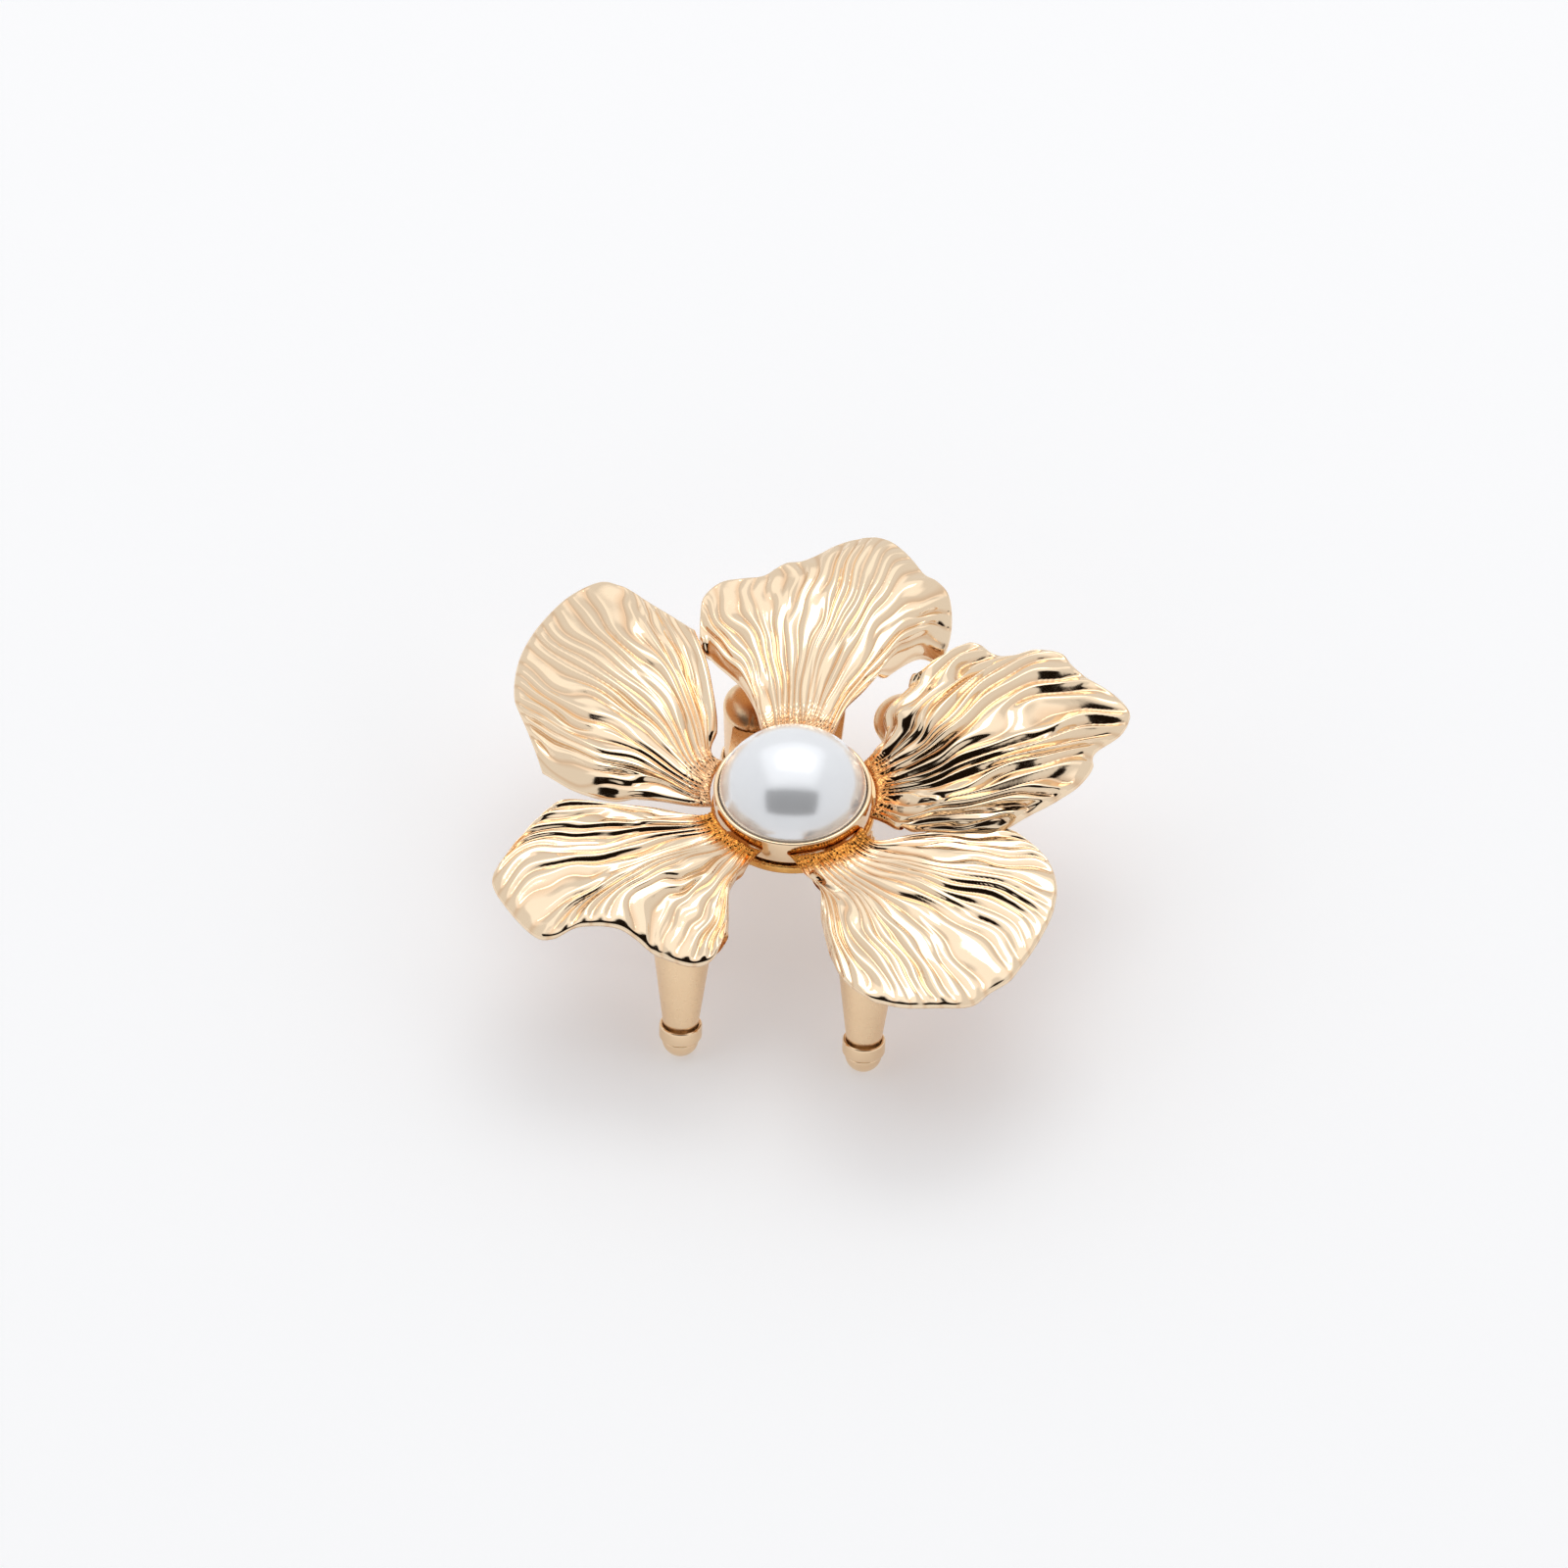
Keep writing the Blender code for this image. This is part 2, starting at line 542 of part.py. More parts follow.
def thumb_lever(parent):
    """The strip that opens the sprung jaw, riveted under its plate and turned up at its end."""
    top = YOKE_BOTTOM - GAP
    low = top - LEVER_THICKNESS
    lift = 1.8
    start = LEVER_RIVET_Y - 2.0
    profile = [(start, low), (LEVER_REACH * 0.7, low), (LEVER_REACH, low + lift),
               (LEVER_REACH, top + lift), (LEVER_REACH * 0.7, top), (start, top)]
    lever = slab("thumb_lever", profile, LEVER_X - LEVER_WIDTH / 2, LEVER_X + LEVER_WIDTH / 2, ACROSS)
    hole_radius = RIVET_RADIUS + GAP
    hole = turned("lever_rivet_hole", [(0.0, 3.0), (hole_radius, 3.0), (hole_radius, -3.0), (0.0, -3.0)],
                  along((0, 0, 1), (LEVER_X, LEVER_RIVET_Y, low)))
    combine(lever, hole, "DIFFERENCE")
    dress(lever, SATIN_GOLD, parent)
    head, height = LEVER_RIVET_HEAD_RADIUS, LEVER_RIVET_HEAD_HEIGHT
    above, below = YOKE_TOP + GAP, low - GAP
    rivet = turned("lever_rivet", [
        (0.0, above + height), (head, above + height), (head, above), (RIVET_RADIUS, above),
        (RIVET_RADIUS, below), (head, below), (head, below - height), (0.0, below - height)],
        Matrix.Translation((LEVER_X * MM, LEVER_RIVET_Y * MM, 0)))
    dress(rivet, SATIN_GOLD, parent)


def hinge(parent):
    """The hinge pin with its formed head, and the cap pressed on its other end."""
    outer = SADDLE_EAR_X + EAR_THICKNESS / 2 + GAP
    end = outer + PIN_HEAD_THICKNESS
    seat = along((1, 0, 0), (0, HINGE_Y, HINGE_Z))
    pin = turned("hinge_pin", [(0.0, end + GAP), (PIN_RADIUS, end + GAP), (PIN_RADIUS, -outer),
                               (PIN_HEAD_RADIUS, -outer), (PIN_HEAD_RADIUS, -end), (0.0, -end)], seat)
    dress(pin, SATIN_GOLD, parent)
    bore = PIN_RADIUS + TIP_FIT
    cap = turned("pin_cap", [(bore, end), (PIN_HEAD_RADIUS, end), (PIN_HEAD_RADIUS, outer), (bore, outer)], seat)
    dress(cap, SATIN_GOLD, parent)


def torsion_spring(parent):
    """The coil round the pin: one leg hooked into the fixed plate, the other resting on the sprung plate."""
    over = YOKE_TOP + GAP + WIRE_RADIUS
    top = HINGE_Z + COIL_RADIUS
    count = COIL_TURNS * POINTS_PER_TURN
    coil = []
    for i in range(count + 1):
        angle = math.pi / 2 - 2 * math.pi * i / POINTS_PER_TURN
        x = -COIL_HALF_LENGTH + 2 * COIL_HALF_LENGTH * i / count
        coil.append((x, HINGE_Y + COIL_RADIUS * math.cos(angle), HINGE_Z + COIL_RADIUS * math.sin(angle)))
    hook_y = HINGE_Y - 5.2
    under = SADDLE_BOTTOM - GAP - WIRE_RADIUS
    first = [(-COIL_HALF_LENGTH, hook_y, SADDLE_TOP - 0.2), (-COIL_HALF_LENGTH, hook_y, under),
             (-COIL_HALF_LENGTH, hook_y + 0.9, under - 0.4), (-COIL_HALF_LENGTH, HINGE_Y - 1.2, top + 0.1)]
    last = [(COIL_HALF_LENGTH, HINGE_Y + 1.2, top + 0.2), (COIL_HALF_LENGTH, HINGE_Y + 3.2, over),
            (COIL_HALF_LENGTH, HINGE_Y + 7.0, over)]
    curve = bpy.data.curves.new("torsion_spring", "CURVE")
    curve.dimensions = "3D"
    curve.bevel_depth = WIRE_RADIUS * MM
    curve.bevel_resolution = 2
    curve.use_fill_caps = True
    route = first + coil + last
    spline = curve.splines.new("POLY")
    spline.points.add(len(route) - 1)
    for point, (x, y, z) in zip(spline.points, route):
        point.co = (x * MM, y * MM, z * MM, 1.0)
    obj = bpy.data.objects.new("torsion_spring", curve)
    CUTTERS.objects.link(obj)
    dress(obj, SPRING_STEEL, parent)


def centre_over_origin(root):
    """Move the finished object so that it stands on z = 0 with its box centred over the origin."""
    bpy.context.view_layer.update()
    graph = bpy.context.evaluated_depsgraph_get()
    corners = []
    for obj in PARTS.objects:
        if obj.type == "EMPTY":
            continue
        whole = obj.evaluated_get(graph)
        mesh = whole.to_mesh()
        points = np.empty(len(mesh.vertices) * 3)
        mesh.vertices.foreach_get("co", points)
        turn = np.array(obj.matrix_world)
        world = points.reshape(-1, 3) @ turn[:3, :3].T + turn[:3, 3]
        corners += [world.min(axis=0), world.max(axis=0)]
        whole.to_mesh_clear()
    low, high = np.min(corners, axis=0), np.max(corners, axis=0)
    root.location = (-(low[0] + high[0]) / 2, -(low[1] + high[1]) / 2, -low[2])
    bpy.context.view_layer.update()


def build():
    """Build both jaws and the flower, then centre the object."""
    root = pivot("claw", (0, 0, 0))
    sprung = pivot("back_jaw", (0, HINGE_Y, HINGE_Z), root)
    frames = prong_frames()
    flower(root)
    front_saddle(root, frames)
    hinge(root)
    torsion_spring(root)
    back_yoke(sprung, frames)
    thumb_lever(sprung)
    for name, centre, direction, on_sprung_jaw in frames:
        prong(name, centre, direction, sprung if on_sprung_jaw else root)
    centre_over_origin(root)


build()
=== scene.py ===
"""Looks of a champagne gold flower hair claw: ribbed cast petals round a half pearl, over a sprung claw."""

import logging
import math
from dataclasses import dataclass
from enum import Enum

import bpy
import numpy as np
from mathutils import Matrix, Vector


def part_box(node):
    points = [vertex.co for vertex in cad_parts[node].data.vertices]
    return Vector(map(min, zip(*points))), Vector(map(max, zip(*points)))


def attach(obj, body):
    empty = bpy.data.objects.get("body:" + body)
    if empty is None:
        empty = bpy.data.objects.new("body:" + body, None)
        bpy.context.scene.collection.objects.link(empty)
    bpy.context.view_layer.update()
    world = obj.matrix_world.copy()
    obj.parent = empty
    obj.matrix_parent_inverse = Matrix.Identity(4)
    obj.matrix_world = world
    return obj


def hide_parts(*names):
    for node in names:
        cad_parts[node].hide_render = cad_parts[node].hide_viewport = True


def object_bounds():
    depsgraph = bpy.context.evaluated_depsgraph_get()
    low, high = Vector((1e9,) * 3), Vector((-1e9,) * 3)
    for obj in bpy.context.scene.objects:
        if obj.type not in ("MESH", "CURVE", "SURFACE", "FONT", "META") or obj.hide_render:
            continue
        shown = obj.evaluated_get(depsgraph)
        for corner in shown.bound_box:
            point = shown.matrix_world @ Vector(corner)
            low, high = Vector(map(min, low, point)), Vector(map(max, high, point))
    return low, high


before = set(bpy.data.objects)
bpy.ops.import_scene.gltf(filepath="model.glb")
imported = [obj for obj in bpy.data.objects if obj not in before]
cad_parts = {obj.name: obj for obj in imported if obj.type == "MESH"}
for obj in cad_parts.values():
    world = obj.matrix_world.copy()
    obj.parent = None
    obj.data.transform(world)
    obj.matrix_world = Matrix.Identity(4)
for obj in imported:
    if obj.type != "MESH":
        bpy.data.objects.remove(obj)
CAD_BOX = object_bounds()

log = logging.getLogger("flower_hair_claw")

MM = 0.001
FIXED, SPRUNG = "ornament", "back_jaw"
Grid = np.ndarray


class Slot(Enum):
    """The record's material slots."""

    POLISHED = "polished_gold"
    SATIN = "satin_gold"
    PEARL = "pearl_lacquer"
    SPRING = "spring_steel"


def flower_axis() -> np.ndarray:
    """Where the flower's axis meets the standing plane, from the pearl's box.

    Returns:
        The point (x, y, 0) in metres.
    """
    low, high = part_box("pearl")
    return np.array([(low[0] + high[0]) / 2, (low[1] + high[1]) / 2, 0.0])


AXIS = flower_axis()


# Colours and nodes


def linear(colour: str) -> tuple[float, float, float, float]:
    """Turn an sRGB hex colour to linear light.

    Args:
        colour: Six hex digits after a hash.

    Returns:
        Linear red, green, blue and an alpha of one.
    """
    channels = [int(colour[i:i + 2], 16) / 255 for i in (1, 3, 5)]
    return (*[c / 12.92 if c <= 0.04045 else ((c + 0.055) / 1.055) ** 2.4 for c in channels], 1.0)


def add(tree: bpy.types.NodeTree, kind: str, links: dict | None = None, **settings) -> bpy.types.Node:
    """Add a node with its settings and links.

    Args:
        tree: The node tree.
        kind: The node's type name.
        links: Input name or index to an output socket, or to a plain value.
        settings: Attributes of the node itself.

    Returns:
        The new node.
    """
    node = tree.nodes.new(kind)
    for name, value in settings.items():
        setattr(node, name, value)
    for key, value in (links or {}).items():
        if isinstance(value, bpy.types.NodeSocket):
            tree.links.new(value, node.inputs[key])
        else:
            node.inputs[key].default_value = value
    return node


@dataclass(frozen=True)
class Finish:
    """A plated or lacquered surface.

    The base colour shifts a little over patches of patch_mm, roughness wanders between low and high, and
    fine marks of grain_mm raise the surface by bump_mm. The shades are painted shade and bounce light: darker,
    warmer colours mixed in where the surface's own attributes say that it lies deep between two ribs, or in
    the throat round the cup.
    """

    name: str
    colour: str
    second: str
    shades: tuple[tuple[str, str], ...]
    metallic: float
    rough_low: float
    rough_high: float
    patch_mm: float
    grain_mm: float
    bump_mm: float
    coat: float = 0.0
    stretch: tuple[float, float, float] = (1.0, 1.0, 1.0)

    def material(self) -> bpy.types.Material:
        """Build the finish's material.

        Returns:
            The material, on Object coordinates.
        """
        made = bpy.data.materials.new(self.name)
        made.use_nodes = True
        tree = made.node_tree
        shader = tree.nodes["Principled BSDF"]
        shader.inputs["Metallic"].default_value = self.metallic
        shader.inputs["Coat Weight"].default_value = self.coat
        shader.inputs["Coat Roughness"].default_value = 0.06
        place = add(tree, "ShaderNodeTexCoord").outputs["Object"]
        spread = add(tree, "ShaderNodeMapping", {"Vector": place, "Scale": self.stretch})
        patches = add(tree, "ShaderNodeTexNoise", {"Vector": spread.outputs["Vector"],
                                                   "Scale": 1 / (self.patch_mm * MM), "Detail": 3.0})
        tint = add(tree, "ShaderNodeMix", {"Factor": patches.outputs["Fac"], 6: linear(self.colour),
                                           7: linear(self.second)}, data_type="RGBA")
        colour_out = tint.outputs[2]
        # Painted shade and bounce light: each attribute mixes its darker, warmer shade colour into the base
        # colour.
        for attribute, shade in self.shades:
            depth = add(tree, "ShaderNodeAttribute", attribute_name=attribute)
            deep = add(tree, "ShaderNodeMix", {"Factor": depth.outputs["Fac"], 6: colour_out,
                                               7: linear(shade)}, data_type="RGBA")
            colour_out = deep.outputs[2]
        tree.links.new(colour_out, shader.inputs["Base Color"])
        grain = add(tree, "ShaderNodeTexNoise", {"Vector": spread.outputs["Vector"],
                                                 "Scale": 1 / (self.grain_mm * MM), "Detail": 4.0})
        rough = add(tree, "ShaderNodeMapRange", {"Value": grain.outputs["Fac"],
                                                 "From Min": 0.3, "From Max": 0.7,
                                                 "To Min": self.rough_low, "To Max": self.rough_high})
        tree.links.new(rough.outputs["Result"], shader.inputs["Roughness"])
        bump = add(tree, "ShaderNodeBump", {"Height": grain.outputs["Fac"], "Strength": 1.0,
                                            "Distance": self.bump_mm * MM})
        tree.links.new(bump.outputs["Normal"], shader.inputs["Normal"])
        return made


# Electroplated pale gold over a polished zinc casting: mirror bright, with a painted darker, warmer shade
# between the ribs and on the underside, and a painted orange bounce light in the throat round the cup.
POLISHED_PETAL = Finish("polished_plate_ribbed", "#F6E0C2", "#F1D6B4",
                        (("groove", "#CB915A"), ("throat", "#D08A3E")), 1.0, 0.055, 0.115, 9.0, 0.5, 0.004)
# The same plate on turned parts, without ribs.
POLISHED_TURNED = Finish("polished_plate_turned", "#F4DAB8", "#F0D0A8", (), 1.0, 0.08, 0.14, 7.0, 0.4, 0.002)
# Plate left rough in the casting's throat, deeper and more orange because light bounces in it.
CAST_THROAT = Finish("cast_plate_throat", "#F0BE72", "#D9944A", (), 1.0, 0.16, 0.3, 1.6, 0.35, 0.08)
# Tubes drawn, tumbled and plated: a satin that spreads highlights along them.
SATIN_TUBE = Finish("satin_plate_tube", "#F7DAB4", "#F2D2AA", (), 1.0, 0.26, 0.36, 5.0, 0.25, 0.003)
# Blanked and tumbled plates under the flower, plated with them.
SATIN_PLATE = Finish("satin_plate_blanked", "#E8C89E", "#DFBB8C", (), 1.0, 0.24, 0.38, 4.0, 0.3, 0.006)
# Moulded bead under pearl lacquer: a soft grey white that mirrors like satin metal under a clear coat.
PEARL_FINISH = Finish("pearl_lacquer_coat", "#F8FAFC", "#F2F3F6", (), 0.5, 0.17, 0.23, 3.0, 0.2, 0.0015,
                      coat=0.25)
# Drawn carbon spring wire, oiled: grey, with streaks along it.
DRAWN_WIRE = Finish("drawn_spring_wire", "#B8B5AE", "#9E9A92", (), 1.0, 0.2, 0.34, 1.5, 0.15, 0.003)


# Meshes from grids


def mesh_piece(name: str, points: Grid, faces: Grid, finish: Finish, body: str, slot: Slot,
               stands_for: tuple[str, ...] = (), shades: dict[str, Grid] | None = None) -> bpy.types.Object:
    """Make a smooth piece of the object and put it on its body.

    Args:
        name: The piece's name.
        points: Corner places in metres, one row each.
        faces: Corner numbers of each four-sided face; a triangle repeats its last corner.
        finish: Its finish.
        body: The CAD body that it moves with.
        slot: The record's material slot; not used.
        stands_for: CAD nodes that it replaces.
        shades: Values from 0 to 1 at each corner that its finish reads for its painted shade and bounce light,
            by attribute name.

    Returns:
        The new object.
    """
    mesh = bpy.data.meshes.new(name)
    loops = [tuple(dict.fromkeys(face)) for face in faces.tolist()]
    mesh.from_pydata(points.tolist(), [], [f for f in loops if len(f) > 2])
    for attribute, values in (shades or {}).items():
        layer = mesh.attributes.new(attribute, "FLOAT", "POINT")
        layer.data.foreach_set("value", values.astype(np.float32))
    mesh.shade_smooth()
    mesh.materials.append(finish.material())
    piece = bpy.data.objects.new(name, mesh)
    bpy.context.scene.collection.objects.link(piece)
    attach(piece, body)
    if stands_for:
        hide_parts(*stands_for)
    log.info("%s: %d faces on %s", name, len(mesh.polygons), body)
    return piece


def quads(rows: int, columns: int, wrap: bool = False) -> Grid:
    """Faces of a grid of corners.

    Args:
        rows: Rows of corners.
        columns: Corners in a row.
        wrap: Whether the last column joins the first.

    Returns:
        One row of four corner numbers for each face.
    """
    cells = np.arange(rows * columns).reshape(rows, columns)
    if wrap:
        cells = np.hstack([cells, cells[:, :1]])
    return np.stack([cells[:-1, :-1], cells[:-1, 1:], cells[1:, 1:], cells[1:, :-1]], axis=-1).reshape(-1, 4)


def turned(profile: list[tuple[float, float]], steps: int, origin: np.ndarray,
           up: np.ndarray) -> tuple[Grid, Grid]:
    """Turn a closed profile about an axis: each point goes to radius * (cos, sin) at its height.

    Args:
        profile: (radius, height) in millimetres, from the top down the outer side and back up any bore.
        steps: Corners round the axis.
        origin: Where height zero is, in metres.
        up: The axis's direction.

    Returns:
        Points and faces, with the ring at a radius of zero closed to a point.
    """
    table = np.array(profile) * MM
    turn = np.linspace(0, 2 * math.pi, steps, endpoint=False)
    axis = up / np.linalg.norm(up)
    side = np.cross([0.0, 1.0, 0.0] if abs(axis[1]) < 0.9 else [1.0, 0.0, 0.0], axis)
    side /= np.linalg.norm(side)
    other = np.cross(axis, side)
    ring = np.cos(turn)[None, :, None] * side + np.sin(turn)[None, :, None] * other
    points = (origin + table[:, 1][:, None, None] * axis + table[:, 0][:, None, None] * ring).reshape(-1, 3)
    faces = quads(len(profile), steps, wrap=True)[:, ::-1]
    if profile[0][0] > 0 or profile[-1][0] > 0:
        first, last = np.arange(steps), (len(profile) - 1) * steps + np.arange(steps)
        lid = np.stack([last, np.roll(last, -1), np.roll(first, -1), first], axis=-1)[:, ::-1]
        faces = np.vstack([faces, lid])
        return points, faces
    merged = np.arange(len(points))
    merged[:steps] = 0
    merged[-steps:] = len(points) - steps
    keep, index = np.unique(merged, return_inverse=True)
    return points[keep], index.reshape(-1)[faces]


def rounded(corners: list[tuple[float, float]], radius: float, count: int = 4) -> list[tuple[float, float]]:
    """Round a profile's inner corners: each corner becomes a short quadratic curve.

    Args:
        corners: The profile's corners.
        radius: How far the curve reaches along each side, in the corners' own units.
        count: Points on each curve.

    Returns:
        The rounded profile; its first and last points stay sharp.
    """
    table = np.array(corners, float)
    out = [tuple(table[0])]
    for before, here, after in zip(table, table[1:], table[2:]):
        to_before, to_after = before - here, after - here
        near = here + to_before * min(radius / max(np.linalg.norm(to_before), 1e-9), 0.45)
        far = here + to_after * min(radius / max(np.linalg.norm(to_after), 1e-9), 0.45)
        t = np.linspace(0, 1, count)[:, None]
        out += [tuple(p) for p in (1 - t) ** 2 * near + 2 * t * (1 - t) * here + t**2 * far]
    out.append(tuple(table[-1]))
    return out


def through(points: list[tuple[float, float, float]], places: Grid) -> Grid:
    """Points on a Catmull-Rom curve through the given ones.

    Args:
        points: The points that the curve passes through.
        places: Shares of the curve's length, from 0 to 1.

    Returns:
        One row for each place.
    """
    knots = np.asarray(points, float)
    padded = np.vstack([2 * knots[0] - knots[1], knots, 2 * knots[-1] - knots[-2]])
    t = np.linspace(0, 1, 16, endpoint=False)[None, :, None]
    a, b, c, d = (padded[k:k + len(knots) - 1][:, None] for k in range(4))
    fine = 0.5 * (2 * b + (c - a) * t + (2 * a - 5 * b + 4 * c - d) * t**2 + (3 * b - a - 3 * c + d) * t**3)
    fine = np.vstack([fine.reshape(-1, 3), knots[-1:]])
    run = np.concatenate([[0], np.cumsum(np.linalg.norm(np.diff(fine, axis=0), axis=1))])
    return np.stack([np.interp(places * run[-1], run, fine[:, k]) for k in range(3)], axis=1)


def smoothstep(low: float, high: float, value: Grid) -> Grid:
    """A smooth rise from 0 at low to 1 at high."""
    share = np.clip((value - low) / (high - low), 0, 1)
    return share * share * (3 - 2 * share)


def polar(degrees: float, radius: float, height: float) -> tuple[float, float, float]:
    """A point round the flower's axis, in millimetres."""
    angle = math.radians(degrees)
    return radius * math.cos(angle), radius * math.sin(angle), height


# The flower

Outline = list[tuple[float, float, float]]


@dataclass(frozen=True)
class Ridge:
    """A broad rise or hollow that runs outwards along the ribs.

    It is a bell curve across the petal, centred at a share of the petal's width, and it grows from the share
    of the length where it starts.
    """

    across: float
    width: float
    height: float
    start: float = 0.1


@dataclass(frozen=True)
class Roll:
    """A margin rolled downwards: which edge, how far in it starts and how far it drops, in millimetres.

    The edge is "first" or "second" for a side, or "free". The roll runs between two shares along that edge.
    """

    edge: str
    reach: float
    drop: float
    start: float
    end: float


@dataclass
class Petal:
    """One cast petal: its outline in (degrees, radius, height) and the way its ribs run.

    The two sides run from the root outwards, the anticlockwise one first, and the edge runs from the first
    side's corner to the second's. A bend pushes the ribs' lines sideways in an S from root to edge.
    """

    name: str
    root: tuple[float, float]
    first: Outline
    second: Outline
    edge: Outline
    crown: float
    seed: float
    ribs: tuple[int, int]
    depth: float
    bend: float
    ridges: tuple[Ridge, ...] = ()
    rolls: tuple[Roll, ...] = ()
    deepest: float = 0.5
    lean: float = 0.5
    facet: float = 0.4
    throat: float = 0.3
    root_radius: float = 8.4
    root_height: float = 19.1
    grain: float = 0.11
    thickness: float = 0.95
    rows: int = 180
    columns: int = 270

    def sheet(self) -> tuple[Grid, Grid, Grid]:
        """The smooth surface between the root arc, both sides and the free edge.

        Each point is the blend of the sides plus the blend of root and edge, less the blend of the four
        corners, raised by a crown of sin(pi s) * 4 t (1 - t).

        Returns:
            Points in millimetres, and the grids of s (root to edge) and t (side to side).
        """
        s = np.linspace(0, 1, self.rows)
        s = 0.75 * s + 0.25 * (0.5 - 0.5 * np.cos(math.pi * s))
        t = np.linspace(0, 1, self.columns)
        t = 0.7 * t + 0.3 * (0.5 - 0.5 * np.cos(math.pi * t))
        first_side = [polar(self.root[0], self.root_radius, self.root_height),
                      *[polar(*p) for p in self.first]]
        second_side = [polar(self.root[1], self.root_radius, self.root_height),
                       *[polar(*p) for p in self.second]]
        free = [first_side[-1]] + [polar(*p) for p in self.edge] + [second_side[-1]]
        left, right, rim = through(first_side, s), through(second_side, s), through(free, t)
        angles = np.radians(self.root[0] + (self.root[1] - self.root[0]) * t)
        root = np.stack([self.root_radius * np.cos(angles), self.root_radius * np.sin(angles),
                         np.full_like(angles, self.root_height)], axis=1)
        ss, tt = s[:, None, None], t[None, :, None]
        corners = ((1 - ss) * ((1 - tt) * left[0] + tt * right[0])
                   + ss * ((1 - tt) * left[-1] + tt * right[-1]))
        grid = ((1 - tt) * left[:, None] + tt * right[:, None]
                + (1 - ss) * root[None] + ss * rim[None] - corners)
        grid[:, :, 2:] += self.crown * np.sin(math.pi * ss) * 4 * tt * (1 - tt)
        return grid, ss[:, :, 0], tt[:, :, 0]

    def lines(self, s: Grid, t: Grid) -> Grid:
        """Which rib line each point lies on, as a share of the width that varies slowly along the petal."""
        p = self.seed
        inner = np.sin(math.pi * t) ** 0.7
        return (t + self.bend * np.sin(2 * math.pi * (s - 0.08)) * inner
                + 0.014 * np.sin(2 * math.pi * (1.15 * s + 1.7 * t) + p)
                + 0.008 * np.sin(2 * math.pi * (2.1 * s - 2.6 * t) + 2.1 * p)
                + 0.0035 * np.sin(2 * math.pi * (4.3 * s + 4.7 * t) + 3.7 * p)
                + 0.012 * np.sin(2 * math.pi * 3.1 * t + 1.3 * p)
                + 0.006 * np.sin(2 * math.pi * 6.7 * t + 2.9 * p))

    def crest(self, phase: Grid) -> Grid:
        """The height across ribs, from 0 in a groove to 1 on a crest, for a phase that counts ribs.

        Part of it is |sin|, part has straight flanks and a rounded crest that leans towards the second side.
        """
        part = phase - np.floor(phase)
        turn = np.where(part < self.lean, 0.5 * part / self.lean,
                        0.5 + 0.5 * (part - self.lean) / (1 - self.lean))
        straight = 1 - (np.sqrt((2 * turn - 1) ** 2 + 0.02) - 0.1414) / 0.868
        return (1 - self.facet) * np.sqrt(np.sin(math.pi * turn) ** 2 + 0.004) + self.facet * straight

    def relief(self, s: Grid, t: Grid, width: Grid) -> tuple[Grid, Grid, Grid]:
        """Heights added to the smooth surface.

        Ribs are rounded crests |sin| between thin grooves. Their count grows from root to edge, so that some
        split on the way. Each rib has its own height, which comes and goes along it, and a finer set runs
        over them. Ridges are broad and slow.

        Args:
            s: Root to edge, 0 to 1.
            t: Side to side, 0 to 1.
            width: The petal's width at each row, in millimetres.

        Returns:
            The ribs and the ridges in millimetres, and how much painted shade each point gets for lying in a
            groove or near the root, 0 to 1.
        """
        p = self.seed
        few, many = self.ribs
        line = self.lines(s, t)
        crests = [self.crest(n * line + p * k) for k, n in enumerate((few, many))]
        where = (s - 0.48 + 0.24 * np.sin(2 * math.pi * 1.9 * line + p)
                 + 0.12 * np.sin(2 * math.pi * 5.3 * line + 2 * p))
        split = smoothstep(-0.07, 0.07, where)
        crest = (1 - split) * crests[0] + split * crests[1]
        spacing = width / (few + (many - few) * split)
        own = 0.84 + 0.16 * np.sin(2 * math.pi * 0.37 * few * line + 1.7 * p)
        comes = 0.8 + 0.2 * np.sin(2 * math.pi * (1.25 * s + 2.3 * line) + 2.3 * p)
        fade = smoothstep(0.0, 0.08, s) * (1 - 0.55 * smoothstep(0.88, 1.0, s))
        strength = own * comes * fade
        ribs = np.minimum(self.depth * spacing, self.deepest) * (crest - 0.62) * strength
        fine = np.sqrt(np.sin(math.pi * 2.37 * many * line + 1.1 * p) ** 2 + 0.03)
        sparse = smoothstep(0.1, 0.8, np.sin(2 * math.pi * (1.7 * s - 2.9 * line) + p))
        ribs = ribs + 0.055 * (fine - 0.6) * sparse * fade
        ridges = sum(r.height * np.exp(-((line - r.across) / r.width) ** 2)
                     * smoothstep(r.start, r.start + 0.45, s)
                     for r in self.ridges) + np.zeros_like(line)
        # Painted shade: strongest in the grooves between crests and near the root, weaker where the ribs are
        # low.
        groove = np.clip(1.0 - crest * 1.9, 0, 1) * (0.5 + 0.5 * (1 - smoothstep(0.08, 0.7, s)))
        groove = np.maximum(groove, 0.85 * (1 - smoothstep(0.0, 0.13, s)))
        return ribs, ridges, groove * (0.6 + 0.4 * strength)

    def cast_grain(self, grid: Grid) -> Grid:
        """The rough casting skin in the throat: products of waves of about half a millimetre along x, y, z."""
        x, y, z = (grid[..., k] for k in range(3))
        coarse = np.sin(9.1 * x + 3.0 * np.sin(2.3 * y)) * np.sin(8.3 * y + 2.6 * np.sin(2.9 * x) + 2.0 * z)
        close = np.sin(17.0 * x + 5.0 * y + 2.0 * np.sin(4.1 * z)) * np.sin(15.1 * y - 6.0 * x)
        return self.grain * (0.65 * coarse + 0.35 * close)

